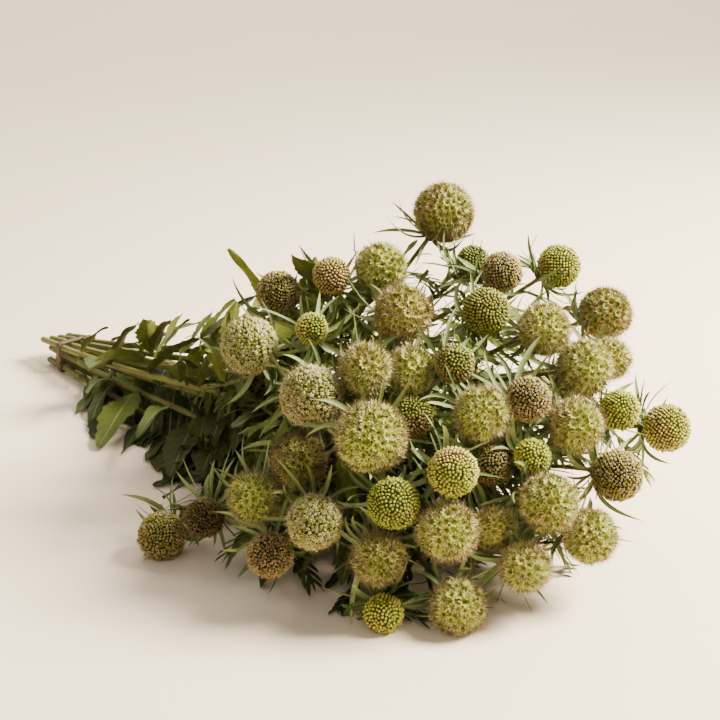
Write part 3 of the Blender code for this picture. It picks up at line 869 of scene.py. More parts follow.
def bract_finish():
    made, paint, shader = finish_of("bract_green", 0.6)
    tip, tone, side = mark(paint, "X"), mark(paint, "Y"), mark(paint, "Z")
    middle = 1 - paint.maths("ABSOLUTE", side * 2.0 - 1.0)
    colour = tone.mix((0.05, 0.085, 0.010), (0.30, 0.35, 0.12))
    colour = (speckle(paint, 220).between(0.4, 0.7) * 0.5).mix(colour, (0.12, 0.15, 0.03))
    colour = middle.between(0.75, 1.0).mix(colour, (0.27, 0.32, 0.11))
    colour = (tip + speckle(paint, 500) * 0.3).between(1.0, 1.25).mix(colour, (0.17, 0.12, 0.035))
    feed(paint, shader, "Base Color", colour)
    feed(paint, shader, "Roughness", speckle(paint, 500) * 0.3 + 0.45)
    bump(paint, shader, middle * -0.5 + speckle(paint, 1800), 0.00015)
    return made


draw = np.random.default_rng(SEED)
leaf_plans, fork_plans, bract_plans = [], [], []
for stem, distance, turn, kind, length in LEAVES:
    number = stem - 1
    root, way = spot_on(stems[number], distance)
    leaf_plans.append((number, kind, clear_leaf(root, way, turn, kind, length, number)))
for number, stalk in stalks:
    turn = FORK_LEAF[1] + draw.uniform(-30, 30)
    way = unit(stalk[2] - stalk[1])
    fork_plans.append((number, clear_leaf(stalk[1], way, turn, "narrow", FORK_LEAF[0], number)))
offsets = {}
for number, i in stem_and_head:
    offsets[i] = draw.uniform(0, 2 * math.pi)
    bract_plans += [(number, i, line) for line in bract_lines(i, number, offsets[i], draw)]
more = np.random.default_rng(40)
for number, i in stem_and_head:
    for k in range(EXTRA_BRACTS):
        turn = offsets[i] + 2 * math.pi * (k + more.uniform(-0.2, 0.2)) / EXTRA_BRACTS
        out = round_about(axes[i], turn)
        root = middle_of_rim(i) + out * DISC_R * 0.9
        first = unit(out - axes[i] * more.uniform(-0.1, 0.35))
        aside = np.cross(out, axes[i]) * more.normal(0, 0.5) + UP * 0.15
        last = unit(out * more.uniform(-0.1, 0.8) + axes[i] * more.uniform(-0.7, 1.1) + aside)
        length = radii[i] * 1.05 + more.uniform(7, 16)
        bract_plans.append((number, i, bent_path(root, first, last, length, 3)))

BRACT_FINISH = bract_finish()
bract_growths = [Growth() for _ in stems]
t = np.linspace(0, 1, BRACT_STATIONS)
for number, i, line in bract_plans:
    widths = BRACT_WIDE * more.uniform(0.7, 1.1) * tapered(t, 1.15, 0.62, 2.2, 0.02)
    path = curve_through(line, BRACT_STATIONS)
    path = path[0] + (path - path[0]) * more.uniform(1.0, 1.3)
    sideways = unit(np.cross(path[-1] - path[0], axes[i]))
    bend = axes[i] * more.uniform(-4.0, 13.0) + sideways * more.normal(0, 5.0)
    bend += UP * more.uniform(0.0, 2.0)
    facing = unit(axes[i] + sideways * more.normal(0, 0.8))
    if runs_into_head(path + bend * t[:, None] ** 2.2, 2.0):
        path, bend = path[0] + (path - path[0]) * 0.75, bend * 0.0
    if runs_into_head(path, 3.5):
        continue
    path = path + bend * t[:, None] ** 2.2
    path[1:] = off_heads(path[1:], 1.0)
    path[:, 2] = np.maximum(path[:, 2], 0.6)
    ribbon(bract_growths[number], path, widths, facing, 3, more.uniform(0.25, 0.6), more.uniform())
t = np.linspace(0, 1, DISC_STATIONS)
for number, i in stem_and_head:
    top = centres[i] - axes[i] * (radii[i] * SEAT + GAP)
    disc = top - axes[i] * ((1 - t) * (DISC_DEEP + 1.0))[:, None]
    wide = STALK_R * 0.95 + (DISC_R - STALK_R) * t**2.2
    rod(stem_growths[number], disc, wide, STEM_SIDES, 0.8, 0.04)
    end_cap(stem_growths[number], top, axes[i], DISC_R, STEM_SIDES, 0.8, 0)
stem_pieces("stem", stem_growths, STEM_FINISHES)
stem_pieces("bracts", bract_growths, [BRACT_FINISH])

# The leaves: soft, grey-green and veined. Low on a stem they are broad and toothed or lance-shaped,
# higher up they are cut into narrow lobes, and at a fork there is one narrow leaf.
MORE_LEAVES = 560
TOOTHED_ROWS = 26
PLAIN_ROWS = 16
LEAF_COLUMNS = 7
TEETH = 7
LOBES = (0.22, 0.36, 0.5, 0.64, 0.78)
LOBE_STATIONS = 6
LOBED_STATIONS = 14
NARROW_STATIONS = 8
NARROW_FROM = 190.0
NARROW_STEP = 5.0
STANDING_RINGS = range(85, 310, 12)
STANDING_STRAY = 9
NODE_LEAVES = (32, 55, 88)
LOW_LEFT_HEADS = (42, 43)
LOW_LEFT_LEAVES = range(215, 315, 6)


def blade_of_leaf(growth, plan, kind, tone, draw):
    """One broad leaf: its teeth, its fold along the midrib and its slow waves."""
    root, first, last, length, face_up = plan
    rows = TOOTHED_ROWS if kind == "toothed" else PLAIN_ROWS
    t = np.linspace(0, 1, rows)
    line = bent_path(root, first, last, length, rows)
    if kind == "toothed":
        teeth = 1 - 0.26 * (1 - (t * TEETH) % 1) * np.clip((1 - t) * 4, 0, 1)
        foot = 1 - 0.85 * np.clip(0.12 - t, 0, 1) / 0.12
        widths = length * (0.03 + 0.38 * np.sin(np.pi * t**0.9) * teeth) * foot
    elif kind == "lance":
        teeth = 1 - 0.08 * ((t * 9) % 1)
        widths = length * (0.02 + 0.2 * np.sin(np.pi * t**0.8) * teeth)
    else:
        widths = 3.8 * tapered(t, 2.2, 0.25, 1, 0.02)
    ways = np.gradient(line, axis=0)
    sides = unit_rows(np.cross(ways, face_up))
    overs = unit_rows(np.cross(sides, ways))
    waves, fold = draw.uniform(0, 6.3), draw.uniform(0.1, 0.35)
    points, tips, sideways = [], [], []
    for k in range(rows):
        for share in np.linspace(-1, 1, LEAF_COLUMNS):
            lift = abs(share) * fold * widths[k] / 2
            lift += share**2 * math.sin(t[k] * 11 + waves + share * 1.5) * length * 0.022
            points.append(line[k] + sides[k] * share * widths[k] / 2 + overs[k] * lift)
            tips.append(t[k])
            sideways.append((share + 1) / 2)
    points = off_heads(np.array(points), 0.8)
    points[:, 2] = np.maximum(points[:, 2], 0.25)
    growth.add(points, grid_triangles(rows, LEAF_COLUMNS, False), tips, tone, sideways)


def lobed_leaf(growth, plan, tone, draw):
    """A leaf cut to its midrib into pairs of narrow lobes."""
    root, first, last, length, face_up = plan
    line = bent_path(root, first, last, length, LOBED_STATIONS)
    line[1:] = off_heads(line[1:], 1.0)
    widths = length * 0.07 * tapered(np.linspace(0, 1, LOBED_STATIONS), 1.6, 0.5, 3)
    ribbon(growth, line, widths, face_up, 5, 0.3, tone)
    widths = 2.5 * tapered(np.linspace(0, 1, LOBE_STATIONS), 1.5, 0.5, 2.5)
    for share in LOBES:
        at, way = spot_on(line, share * length, 1.0)
        side = unit(np.cross(way, face_up))
        for hand in (-1, 1):
            start = unit(way * 0.7 + side * hand * 0.75)
            long = length * draw.uniform(0.24, 0.32) * (1.15 - 0.5 * abs(share - 0.45))
            end = unit(way + face_up * draw.uniform(-0.3, 0.3))
            lobe = off_heads(bent_path(at, start, end, long, LOBE_STATIONS), 1.0)
            ribbon(growth, lobe, widths, face_up, 3, 0.3, tone)


def leaf_finish():
    made, paint, shader = finish_of("leaf_green", 0.5)
    tip, tone, side = mark(paint, "X"), mark(paint, "Y"), mark(paint, "Z")
    aside = paint.maths("ABSOLUTE", side * 2.0 - 1.0)
    veins = paint.maths("FRACT", tip * 8.0 - aside * 1.1 + 3.0)
    vein = 1 - paint.maths("ABSOLUTE", veins * 2.0 - 1.0).between(0.0, 0.22)
    midrib = 1 - aside.between(0.03, 0.1)
    settings = {"feature": "DISTANCE_TO_EDGE"}
    net = paint.node("ShaderNodeTexVoronoi", settings, {"Scale": 900.0}, "Distance")
    # The leaf tone, set mostly by height, runs from near black, painted shade for low leaves, to a
    # bright green, painted light for high ones.
    colour = tone.mix((0.025, 0.040, 0.004), (0.42, 0.50, 0.03))
    colour = (speckle(paint, 120).between(0.4, 0.65) * 0.35).mix(colour, (0.09, 0.10, 0.01))
    colour = ((1 - net.between(0.0, 0.12)) * 0.3).mix(colour, (0.14, 0.18, 0.025))
    colour = (vein * 0.5).mix(colour, (0.19, 0.24, 0.045))
    colour = midrib.mix(colour, (0.26, 0.30, 0.09))
    feed(paint, shader, "Base Color", colour)
    feed(paint, shader, "Roughness", speckle(paint, 300) * 0.25 + 0.42)
    bump(paint, shader, net.between(0.0, 0.2) - vein * 1.2 - midrib * 1.5, 0.0003)
    return made


LEAF_FINISH = leaf_finish()
leaf_draw = np.random.default_rng(5)
leaf_growths = [Growth() for _ in stems]
for number, kind, plan in leaf_plans:
    if plan is None:
        continue
    # Painted shade: the lower the leaf, the darker its tone.
    tone = np.clip(plan[0][2] / 60 + leaf_draw.uniform(-0.2, 0.5), 0, 1) * 0.42
    if kind == "lobed":
        lobed_leaf(leaf_growths[number], plan, tone, leaf_draw)
    else:
        blade_of_leaf(leaf_growths[number], plan, kind, tone, leaf_draw)
plan_outline = outline(np.vstack([centres[:, :2], BAND_AT[:2]]))


def within_plan(at):
    """Whether a point lies inside the outline that the heads and the band make on the table."""
    edges = np.roll(plan_outline, -1, axis=0) - plan_outline
    to_point = at[:2] - plan_outline
    return (edges[:, 0] * to_point[:, 1] - edges[:, 1] * to_point[:, 0] > 0).all()


# Hanging leaves: broad ones near the band, then broad and lobed ones further out and on the stalks.
low_stems = [number for number in range(len(stems)) if number % ROWS < 2]
carriers = [(number, stems[number], 75.0, 250.0) for number in low_stems for _ in range(4)]
carriers += [(number, stem, 200.0, 600.0) for number, stem in enumerate(stems) for _ in range(5)]
far_stalks = [(number, stalk) for number, stalk in stalks if stalk[-1][0] > 50 and stalk[-1][1] > 120]
carriers += [(number, stalk, 5.0, 600.0) for number, stalk in stalks + far_stalks]
set_leaves, tries = 0, 0
while set_leaves < MORE_LEAVES and tries < MORE_LEAVES * 6:
    number, line, low, high = carriers[tries % len(carriers)]
    tries += 1
    root = at_run(line, leaf_draw.uniform(low, min(run_of(line)[-1] - 8, high)))
    way = unit(at_run(line, run_of(line)[-1]) - root)
    out = round_about(way, leaf_draw.uniform(0, 2 * math.pi))
    first = unit(way * 0.62 + out * 0.78)
    last = unit(first + way * 0.3 - UP * leaf_draw.uniform(0.0, 1.0))
    face_up = unit(upper_side(first, UP + out * 0.3))
    near_band = high < 300
    length = leaf_draw.uniform(34, 56) if near_band else leaf_draw.uniform(30, 52)
    path = bent_path(root, first, last, length, 9)
    if runs_into_head(path, 0.0) or path[:, 2].max() > root[2] + 9:
        continue
    if (near_band and out[2] > 0.0) or not (near_band or within_plan(path[-1])):
        continue
    set_leaves += 1
    plan = (root, first, last, length, face_up)
    # Painted shade: the lower the leaf, the darker its tone.
    tone = np.clip(root[2] / 150 + leaf_draw.uniform(-0.25, 0.35), 0, 1) * 0.6
    if near_band or tries % 2 == 0:
        kind = ("toothed", "lance")[tries // 2 % 2]
        blade_of_leaf(leaf_growths[number], plan, kind, tone, leaf_draw)
    else:
        lobed_leaf(leaf_growths[number], plan, tone, leaf_draw)
# Leaves that stand or spread on the topmost stems, in rings round the band.
all_lines = list(enumerate(stems)) + stalks
for distance in STANDING_RINGS:
    tops = []
    for number, line in all_lines:
        at = distance + leaf_draw.uniform(-STANDING_STRAY, STANDING_STRAY)
        from_band = np.linalg.norm(line[:, :2] - BAND_AT[:2], axis=1)
        if from_band.min() < at < from_band.max():
            root = np.array([np.interp(at, from_band, line[:, k]) for k in range(3)])
            tops.append((root[2], number, root, unit(line[-1] - root)))
    tops.sort(key=lambda top: -top[0])
    for _, number, root, way in tops[: 3 if distance < 190 else 5]:
        out = unit(UP + np.cross(way, UP) * leaf_draw.uniform(-1.7, 1.4))
        first = unit(way * leaf_draw.uniform(-0.1, 1.1) + out * 0.9)
        last = unit(first + way * leaf_draw.uniform(-0.4, 1.4) - UP * leaf_draw.uniform(-0.2, 1.1))
        face_up = unit(upper_side(first) - way * 0.4)
        plan = (root, first, last, leaf_draw.uniform(20, 58), face_up)
        if not runs_into_head(bent_path(root, first, last, plan[3], 9), 0.0):
            kind = ("toothed", "toothed", "lance")[int(leaf_draw.integers(3))]
            # Painted light: the leaves on the topmost stems get a lighter tone.
            blade_of_leaf(leaf_growths[number], plan, kind, leaf_draw.uniform(0.35, 1.0), leaf_draw)
# Small leaves at the joints of the stems, near the band.
for number, stem in enumerate(stems):
    for distance in NODE_LEAVES:
        root = at_run(stem, distance + leaf_draw.uniform(-6, 6))
        way = unit(stem[2] - stem[1])
        out = round_about(way, leaf_draw.uniform(0, 2 * math.pi))
        first = unit(way * 0.8 + out * 0.7)
        plan = (root + out * 1.6, first, unit(first + way * 0.6), leaf_draw.uniform(8, 19), out)
        blade_of_leaf(leaf_growths[number], plan, "lance", leaf_draw.uniform(0.1, 0.6), leaf_draw)
# Lance-shaped leaves along the stems of the two heads that lie lowest on the left.
for number in sorted({number for number, i in stem_and_head if i in LOW_LEFT_HEADS}):
    for distance in LOW_LEFT_LEAVES:
        root, way = spot_on(stems[number], distance)
        out = round_about(way, leaf_draw.uniform(0, 2 * math.pi))
        first = unit(way * 0.7 + out * 0.8 + UP * 0.5)
        last = unit(first + way * leaf_draw.uniform(-0.2, 0.8) - UP * leaf_draw.uniform(0.2, 1.0))
        plan = (root, first, last, leaf_draw.uniform(24, 42), unit(upper_side(first)))
        if not runs_into_head(bent_path(root, first, last, plan[3], 9), 0.0):
            # Painted shade: these low leaves get a dark tone.
            blade_of_leaf(leaf_growths[number], plan, "lance", leaf_draw.uniform(0.05, 0.45), leaf_draw)
# The narrow leaves of the upper stems and of the stalks, with one broader one at each fork.
t = np.linspace(0, 1, NARROW_STATIONS)
for number, line in all_lines:
    begin = NARROW_FROM if len(line) > 6 else 4.0
    for distance in np.arange(begin, run_of(line)[-1] - 8, NARROW_STEP):
        root = at_run(line, distance)
        way = unit(at_run(line, distance + 3) - at_run(line, distance - 3))
        out = round_about(way, leaf_draw.uniform(0, 2 * math.pi))
        first = unit(way * leaf_draw.uniform(0.3, 1.0) + out * 0.9 + UP * 0.2)
        last = unit(first + way * leaf_draw.uniform(-0.3, 0.8) + UP * leaf_draw.uniform(-1.1, 0.8))
        path = bent_path(root, first, last, leaf_draw.uniform(16, 36), NARROW_STATIONS)
        if not runs_into_head(path, 0.5) and (within_plan(path[-1]) or distance < 30):
            widths = leaf_draw.uniform(1.7, 3.2) * tapered(t, 1.5, 0.5, 2.2)
            # Painted shade: the lower the leaf, the darker its tone.
            tone = np.clip(root[2] / 130 + leaf_draw.uniform(-0.3, 0.4), 0, 1) * 0.75
            path, face_up = off_heads(path, 0.8), unit(UP + out * 0.8)
            ribbon(leaf_growths[number], path, widths, face_up, 3, 0.4, tone)
for number, plan in fork_plans:
    if plan is not None:
        blade_of_leaf(leaf_growths[number], plan, "narrow", leaf_draw.uniform(0.2, 0.7), leaf_draw)
stem_pieces("leaves", leaf_growths, [LEAF_FINISH])


# The seed heads: balls set all over with florets, in the spiral in which they grow. The cores are
# dark green, painted darker still on the bead, brown and fuzzy heads as shade between the florets,
# and each kind of floret is one small form that is set out over the ball.
CORE_ROWS = 12
CORE_COLUMNS = 20


def spots_on_ball(count, i, sink, draw, lean, drift):
    """Places for florets on a head, and for each its own directions and how ripe it is."""
    k = np.arange(count)
    z = 1 - (2 * k + 1) / count
    turn = k * math.pi * (3 - math.sqrt(5))
    ring = np.sqrt(1 - z * z)
    side, ahead = across(axes[i])
    outs = np.outer(ring * np.cos(turn), side) + np.outer(ring * np.sin(turn), ahead)
    outs = (outs + np.outer(z, axes[i]))[z > -SEAT]
    outs = unit_rows(outs + draw.normal(0, drift * 3.5 / math.sqrt(count), outs.shape))
    uneven = draw.normal(0, drift * 4.0, (len(outs), 1)).clip(-0.9, 0.9)
    places = centres[i] + outs * (radii[i] - sink + uneven)
    places[:, 2] = np.maximum(places[:, 2], sink)
    ups = unit_rows(outs + draw.normal(0, lean, outs.shape))
    first = unit_rows(np.cross(ups, draw.normal(0, 1, outs.shape)))
    waves = np.sin(outs @ draw.normal(0, 2.2, (3, 3)) + draw.uniform(0, 6, 3)).mean(axis=1)
    ripes = HEADS[i][5] + 0.22 * (0.35 - outs @ axes[i]) + 0.45 * waves
    ripes += draw.normal(0, 0.15, len(outs))
    return places, np.stack([first, np.cross(ups, first), ups], axis=2), np.clip(ripes, 0, 1)


def set_out(growth, form, spots, sizes, tones, finish):
    """Sets a small form, given as points, triangles, tip marks and side marks, at every place."""
    points, triangles, tips, sideways = form
    places, frames, ripes = spots
    spread = places[:, None] + np.einsum("nij,kj->nki", frames, points) * sizes[:, None, None]
    each, count = len(points), len(places)
    triangles = triangles[None] + (np.arange(count) * each)[:, None, None]
    marks = (np.tile(tips, count), np.repeat(tones, each), np.tile(sideways, count))
    growth.add(spread.reshape(-1, 3), triangles.reshape(-1, 3), *marks, finish, np.repeat(ripes, each))


def core(growth, i, sink):
    """The ball that the florets grow on."""
    points = []
    for down in np.linspace(0, math.pi - math.acos(SEAT), CORE_ROWS):
        for turn in turns_round(CORE_COLUMNS):
            out = round_about(axes[i], turn) * math.sin(down) + axes[i] * math.cos(down)
            points.append(centres[i] + out * (radii[i] - sink))
    points.append(centres[i] - axes[i] * (radii[i] - sink) * SEAT)
    triangles = grid_triangles(CORE_ROWS, CORE_COLUMNS, True)[:, ::-1].tolist()
    last = (CORE_ROWS - 1) * CORE_COLUMNS
    triangles += fan_triangles(last, CORE_COLUMNS, last + CORE_COLUMNS)
    growth.add(points, triangles, 0.0, 0.3, 0.5, 0, HEADS[i][5])


def form_of(points, triangles, tips, sideways=None):
    """A small form for set_out: its points, its triangles, and its tip marks and side marks."""
    sideways = 0.5 * np.ones(len(tips)) if sideways is None else np.array(sideways, float)
    return np.array(points), np.array(triangles), np.array(tips), sideways


def ring_points(reach, height, turns):
    """A ring of points round a form's own axis."""
    level = height + 0 * turns
    return np.column_stack([reach * np.cos(turns), reach * np.sin(turns), level]).tolist()


def hairs(growth, i, finish, count, long, wide):
    """Fine bristles that stand out from between the florets."""
    spots = spots_on_ball(count, i, 1.5, head_draw, 0.3, 0.4)
    lengths = head_draw.uniform(0.5, 1.0, len(spots[0])) ** 1.3 * (long + 1.5)
    tones = head_draw.uniform(0, 1, len(spots[0]))
    spots[1][:, :, 0] /= lengths[:, None]
    blade = [[-wide / 2, 0, 0], [wide / 2, 0, 0], [0, 0, 1.0]]
    set_out(growth, form_of(blade, [[0, 1, 2]], [0.3, 0.3, 1.0]), spots, lengths, tones, finish)


def dress(kind, forms, finishes, spacing, sizes, sinks, sway, bristles):
    """Every head of a kind: its core, its florets at this spacing, and its bristles between them.
    The sizes are a scale and its range, the sinks are those of the core and of the florets, and
    the sway is how far the florets lean and drift."""
    for i, head in enumerate(HEADS):
        if head[0] != kind:
            continue
        growth = Growth(0.0 if i + 1 in LIT_HEADS else SHADED_HEADS.get(i + 1, HEAD_PAINTED_SHADE))
        core(growth, i, sinks[0])
        count = int(4 * math.pi * radii[i] ** 2 / (spacing**2 * 0.866))
        spots = spots_on_ball(count, i, sinks[1], head_draw, *sway)
        scales = sizes[0] * head_draw.uniform(*sizes[1:], len(spots[0]))
        tones = head_draw.uniform(0, 1, len(spots[0]))
        for finish, form in enumerate(forms):
            set_out(growth, form, spots, scales, tones, finish)
        hairs(growth, i, len(forms), *bristles)
        name = f"{kind}_head_{i + 1:02d}"
        growth.piece(name, f"seed_head_{i + 1:02d}", kind, finishes + [HAIR_FINISH])


def ripeness(paint):
    return attribute(paint, "ripe")


def with_painted_shade(paint, colour):
    """A head's colour, darkened by as much painted shade as the head is marked with."""
    return colour.tinted(attribute(paint, "painted_shade"), (0.35, 0.36, 0.28))


def hair_finish():
    made, paint, shader = finish_of("fine_bristle", 0.7)
    tip, tone = mark(paint, "X"), mark(paint, "Y")
    dark = ripeness(paint).mix((0.36, 0.24, 0.10), (0.24, 0.11, 0.05))
    near_tip = tip.between(0.3, 0.9) + speckle(paint, 500) * 0.2
    colour = near_tip.mix((0.12, 0.12, 0.015), tone.mix(dark, (0.77, 0.66, 0.30)))
    feed(paint, shader, "Base Color", with_painted_shade(paint, colour))
    return made


HAIR_FINISH = hair_finish()
head_draw = np.random.default_rng(11)

# Papery heads: each floret is a parchment cup with a fringed rim, and a star of dark, stiff
# bristles stands out of its green throat.
CUP_SPACING = 4.15
CUP_R = 2.6
CUP_RIBS = 9


def cup_form():
    """A pleated funnel with a toothed rim, for a cup of radius 1."""
    around = 2 * CUP_RIBS
    high = np.arange(around) % 2
    rings = [
        (0.22, -0.42, 0.1),
        (0.6 + 0.05 * high, -0.12 + 0.1 * high, 0.55),
        (0.78 + 0.5 * high, 0.44 * high, 1.0),
    ]
    points, tips, sideways = [[0, 0, -0.55]], [0.0], [0.5]
    for reach, height, tip in rings:
        points += ring_points(reach, height, turns_round(around))
        tips += (tip - 0.12 * (1 - high) * (tip > 0.5)).tolist()
        sideways += high.tolist()
    triangles = fan_triangles(1, around, 0)
    triangles += (grid_triangles(3, around, True)[:, [0, 2, 1]] + 1).tolist()
    return form_of(points, triangles, tips, sideways)


def star_form():
    """Five stiff bristles that spread from the throat of a cup and stand above its rim."""
    points, triangles, tips = [], [], []
    for k, a in enumerate(turns_round(5)):
        out = np.array([math.cos(a), math.sin(a), 0])
        side = np.array([-math.sin(a), math.cos(a), 0]) * 0.035
        base = np.array([0, 0, -0.5])
        knee = out * (0.28 + 0.08 * (k % 2)) + UP * 0.1
        tip = out * (0.5 + 0.4 * (k % 3)) + UP * (1.8 - 0.45 * (k % 2))
        count = len(points)
        points += [base - side * 2.5, base + side * 2.5, knee + side, knee - side, tip]
        blade = np.array([(0, 1, 2), (0, 2, 3), (3, 2, 4)])
        triangles += (blade + count).tolist()
        tips += [0.0, 0.0, 0.5, 0.5, 1.0]
    return form_of(points, triangles, tips)


def cup_finish():
    made, paint, shader = finish_of("parchment_cup", 0.8, 0.2)
    tip, tone, rib = mark(paint, "X"), mark(paint, "Y"), mark(paint, "Z")
    ripe = ripeness(paint)
    throat = ripe.mix((0.29, 0.42, 0.006), (0.15, 0.12, 0.010))
    wall = ripe.mix((0.40, 0.48, 0.02), (0.27, 0.20, 0.04))
    rim = ripe.mix((0.64, 0.60, 0.23), (0.42, 0.28, 0.13))
    colour = tip.between(0.05, 0.5).mix(throat, wall)
    colour = (tip.between(0.5, 0.95) + tone * 0.4 - 0.25).mix(colour, rim)
    colour = (rib.between(0.5, 1.0) * tip * 0.45).mix(colour, rim)
    colour = (speckle(paint, 800).between(0.52, 0.7) * 0.65).mix(colour, (0.10, 0.075, 0.012))
    feed(paint, shader, "Base Color", with_painted_shade(paint, colour))
    bump(paint, shader, speckle(paint, 2200), 0.0002)
    return made


def star_finish():
    made, paint, shader = finish_of("dark_bristle", 0.6)
    colour = mark(paint, "X").mix((0.06, 0.06, 0.006), (0.26, 0.125, 0.055))
    colour = speckle(paint, 900).between(0.4, 0.7).mix(colour, (0.05, 0.04, 0.01))
    feed(paint, shader, "Base Color", colour)
    return made


dress(
    "papery", [cup_form(), star_form()], [cup_finish(), star_finish()], CUP_SPACING,
    sizes=(CUP_R, 0.72, 1.12), sinks=(2.0, 1.2), sway=(0.24, 0.12), bristles=(2000, 3.6, 0.23),
)

# Bead heads: unripe heads, packed with smooth round seeds, golden green over dark gaps. The gaps
# are partly the seeds' dark feet and partly painted shade, and the lighter tops partly a painted
# highlight. A seed is a small dome that grows out of the head on a narrow foot, with few bristles
# round it.
BEAD_SPACING = 2.05


def bead_form():
    """A small dome on a narrow foot, for a spacing of 1."""
    points = ring_points(0.26, -0.75, turns_round(5)) + ring_points(0.46, -0.05, turns_round(5))
    triangles = grid_triangles(2, 5, True).tolist() + fan_triangles(5, 5, 10)
    return form_of(points + [[0, 0, 0.58]], triangles, [0.0] * 5 + [0.5] * 5 + [1.0])


def bead_finish():
    made, paint, shader = finish_of("green_seed", 0.45, 0.4)
    tip, tone, ripe = mark(paint, "X"), mark(paint, "Y"), ripeness(paint)
    top = ripe.between(0.0, 0.35).mix((0.43, 0.49, 0.035), (0.67, 0.66, 0.045))
    top = ripe.between(0.3, 1.0).mix(top, (0.74, 0.47, 0.17))
    # The foot and the core: a dark green, darkened further as painted shade in the gaps between seeds.
    foot = ripe.mix((0.08, 0.09, 0.006), (0.09, 0.065, 0.010))
    top = (tone * 0.5).mix(top, ripe.mix((0.24, 0.27, 0.015), (0.30, 0.21, 0.04)))
    # From foot to top: the seed's own colours, with painted shade low down and a painted highlight on
    # top.
    colour = (tip + speckle(paint, 900) * 0.2 - 0.1).between(0.3, 0.95).mix(foot, top)
    feed(paint, shader, "Base Color", with_painted_shade(paint, colour))
    feed(paint, shader, "Roughness", speckle(paint, 1500) * 0.3 + 0.35)
    return made


dress(
    "bead", [bead_form()], [bead_finish()], BEAD_SPACING,
    sizes=(BEAD_SPACING, 0.85, 1.1), sinks=(1.9, 0.9), sway=(0.14, 0.08), bristles=(260, 1.3, 0.14),
)

# Brown heads: florets gone over, each a short tuft of tan points over a dark gap, painted near
# black as shade. They are dry and stiff, and they stand close together on the ball.
TUFT_SPACING = 2.0


def tuft_form(count, spread, high):
    """A little crown of blunt points on a narrow foot, for a spacing of 1."""
    point = np.arange(2 * count) % 2 == 0
    reach, rise = np.where(point, spread, spread * 0.45), np.where(point, high, high * 0.5)
    points = ring_points(0.24, -0.7, turns_round(count))
    points += ring_points(reach, rise, turns_round(2 * count)) + [[0, 0, high * 0.3]]
    tips = [0.0] * count + np.where(point, 1.0, 0.6).tolist() + [0.35]
    triangles = fan_triangles(count, 2 * count, 3 * count)
    for k in range(count):
        n = (k + 1) % count
        left, valley, right = count + 2 * k, count + 2 * k + 1, count + 2 * n
        triangles += [(k, valley, left), (k, n, valley), (n, right, valley)]
    return form_of(points, triangles, tips)


def crown_finish(name, toned, unripe, ripened, point, foot, grain, full):
    """The paint of a crown of points, from its dark foot, partly painted shade between crowns, to the
    paler points.
    """
    made, paint, shader = finish_of(name, 0.8, 0.2)
    tip, tone, ripe = mark(paint, "X"), mark(paint, "Y"), ripeness(paint)
    top = tone.between(*toned).mix(ripe.mix(unripe, ripened), point)
    raised = (tip + speckle(paint, grain) * 0.3 - 0.15).between(0.25, full)
    feed(paint, shader, "Base Color", with_painted_shade(paint, raised.mix(ripe.mix(*foot), top)))
    bump(paint, shader, speckle(paint, 2500), 0.0002)
    return made


# The tufts' feet are painted near black, as shade in the gaps between them.
TUFT_FINISH = crown_finish(
    "tan_tuft", (0.3, 0.8), (0.46, 0.45, 0.03), (0.43, 0.31, 0.08), (0.74, 0.53, 0.27),
    foot=((0.03, 0.04, 0.004), (0.03, 0.02, 0.005)), grain=900, full=0.95,
)
dress(
    "brown", [tuft_form(4, 0.46, 0.42)], [TUFT_FINISH], TUFT_SPACING,
    sizes=(TUFT_SPACING, 0.75, 1.1), sinks=(2.1, 1.0), sway=(0.18, 0.08), bristles=(800, 1.9, 0.16),
)

# Fuzzy heads: in late flower, thick with small cream florets of five lobes and their pale stamens.
# The florets are crowns of points too, but fuller and looser than the tufts.
FLORET_SPACING = 2.35
# The florets' feet are dark green, darkened further as painted shade between them.
FLORET_FINISH = crown_finish(
    "cream_floret", (0.2, 0.9), (0.47, 0.49, 0.07), (0.50, 0.34, 0.15), (0.76, 0.68, 0.34),
    foot=((0.10, 0.13, 0.008), (0.09, 0.07, 0.012)), grain=700, full=0.9,
)
dress(
    "fuzzy", [tuft_form(5, 0.56, 0.5)], [FLORET_FINISH], FLORET_SPACING,
    sizes=(FLORET_SPACING, 0.7, 1.2), sinks=(2.8, 1.5), sway=(0.32, 0.12), bristles=(1700, 3.0, 0.18),
)

# The elastic band: a flat brown loop stretched round the stems near their cut ends. It is ribbed
# along its outer side, with its edges turned in a little.
BAND_STEPS = 110


def band_piece():
    fan, side = bearing_vector(FAN_BEARING), bearing_vector(FAN_BEARING + 90)
    loop = band_loop()
    heart = loop.mean(axis=0)
    closed = np.vstack([loop, loop[:1]])
    run = run_of(closed)
    at = np.linspace(0, run[-1], BAND_STEPS, endpoint=False)
    even = np.column_stack([np.interp(at, run, closed[:, k]) for k in range(2)])
    section = [(-2.5, 0.25), (-2.3, 0.0), (2.3, 0.0), (2.5, 0.25), (2.5, 0.8), (2.2, 1.08), (1.2, 0.96)]
    section += [(0.6, 1.08), (0.0, 0.96), (-0.6, 1.08), (-1.2, 0.96), (-2.2, 1.08), (-2.5, 0.8)]
    points, tips = [], []
    for k, spot in enumerate(even):
        outwards = unit(spot - heart)
        for forwards, thick in section:
            x, z = spot + outwards * thick
            points.append(BAND_AT + side * x + UP * max(z, 0.0) + fan * forwards)
            tips.append(k / BAND_STEPS)
    triangles = grid_triangles(BAND_STEPS + 1, len(section), True) % len(points)
    growth = Growth()
    growth.add(points, triangles, tips)
    made, paint, shader = finish_of("brown_elastic", 0.6)
    weave = speckle(paint, 800, 2.0)
    colour = weave.between(0.35, 0.7).mix((0.065, 0.04, 0.018), (0.15, 0.095, 0.045))
    feed(paint, shader, "Base Color", colour)
    feed(paint, shader, "Roughness", weave * 0.3 + 0.45)
    bump(paint, shader, weave, 0.0002)
    growth.piece("elastic_band", "band", "band", [made])


band_piece()

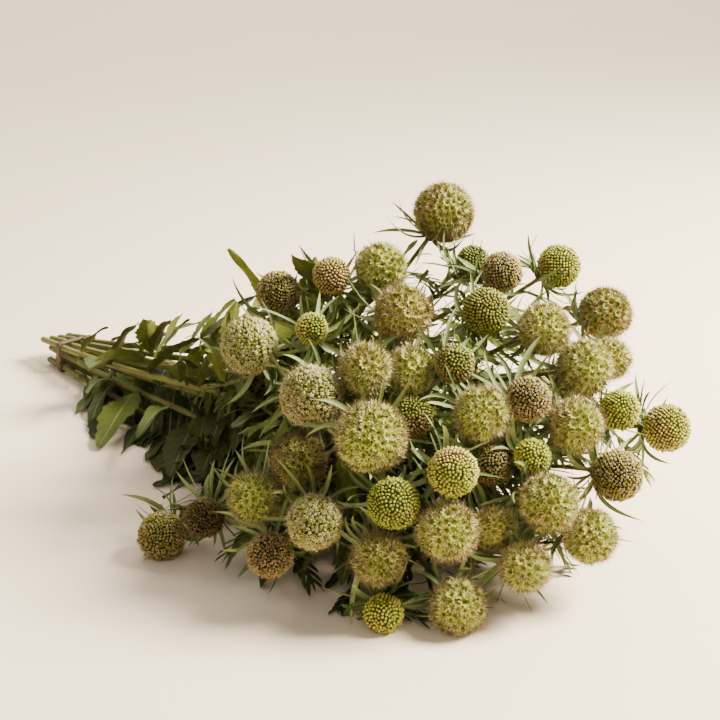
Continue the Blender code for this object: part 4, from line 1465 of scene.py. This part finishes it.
# The plain pale floor, soft light from the upper right, and the camera at the photograph's angle.
# None of these belongs to the part.
CAMERA_AT = np.array([0.0, -570.0, 350.0])
CAMERA_DOWN = 20.0
LENS = 67.2
FLOOR_HALF = 12.0


def floor_piece():
    mesh = bpy.data.meshes.new("floor")
    h = FLOOR_HALF
    mesh.from_pydata([(-h, -h, 0), (h, -h, 0), (h, h, 0), (-h, h, 0)], [], [(0, 1, 2, 3)])
    made = bpy.data.objects.new("floor", mesh)
    bpy.context.scene.collection.objects.link(made)
    finish, paint, shader = finish_of("pale_floor", 0.8, 0.2)
    feed(paint, shader, "Base Color", speckle(paint, 3.0).mix((0.89, 0.71, 0.49), (0.92, 0.75, 0.53)))
    mesh.materials.append(finish)


def soft_light(name, at, aim, size, energy, colour):
    lamp = bpy.data.lights.new(name, "AREA")
    lamp.size = size
    lamp.energy = energy
    lamp.color = colour
    made = bpy.data.objects.new(name, lamp)
    made.location = at
    way = np.array(aim) - np.array(at)
    made.rotation_euler = (
        math.atan2(math.hypot(way[0], way[1]), -way[2]),
        0.0,
        math.atan2(way[0], -way[1]) + math.pi,
    )
    bpy.context.scene.collection.objects.link(made)


floor_piece()
soft_light("window", (1.1, 0.05, 1.05), (0.03, 0.0, 0.05), 0.6, 141.0, (1.0, 0.95, 0.88))
soft_light("fill", (-0.2, -1.3, 1.2), (0.0, 0.0, 0.05), 1.4, 5.0, (1.0, 0.98, 0.96))
soft_light("far_floor", (0.0, 3.4, 2.6), (0.0, 3.2, 0.0), 4.0, 210.0, (1.0, 0.98, 0.95))
world = bpy.data.worlds.new("soft_room")
bpy.context.scene.world = world
world.use_nodes = True
sky = world.node_tree.nodes["Background"]
sky.inputs["Color"].default_value = (0.93, 0.91, 0.88, 1.0)
sky.inputs["Strength"].default_value = 0.47

lens = bpy.data.cameras.new("camera")
lens.lens = LENS
camera = bpy.data.objects.new("camera", lens)
camera.location = (CAMERA_AT + shift) * METRE
camera.rotation_euler = (math.radians(90 - CAMERA_DOWN), 0.0, 0.0)
bpy.context.scene.collection.objects.link(camera)
bpy.context.scene.camera = camera
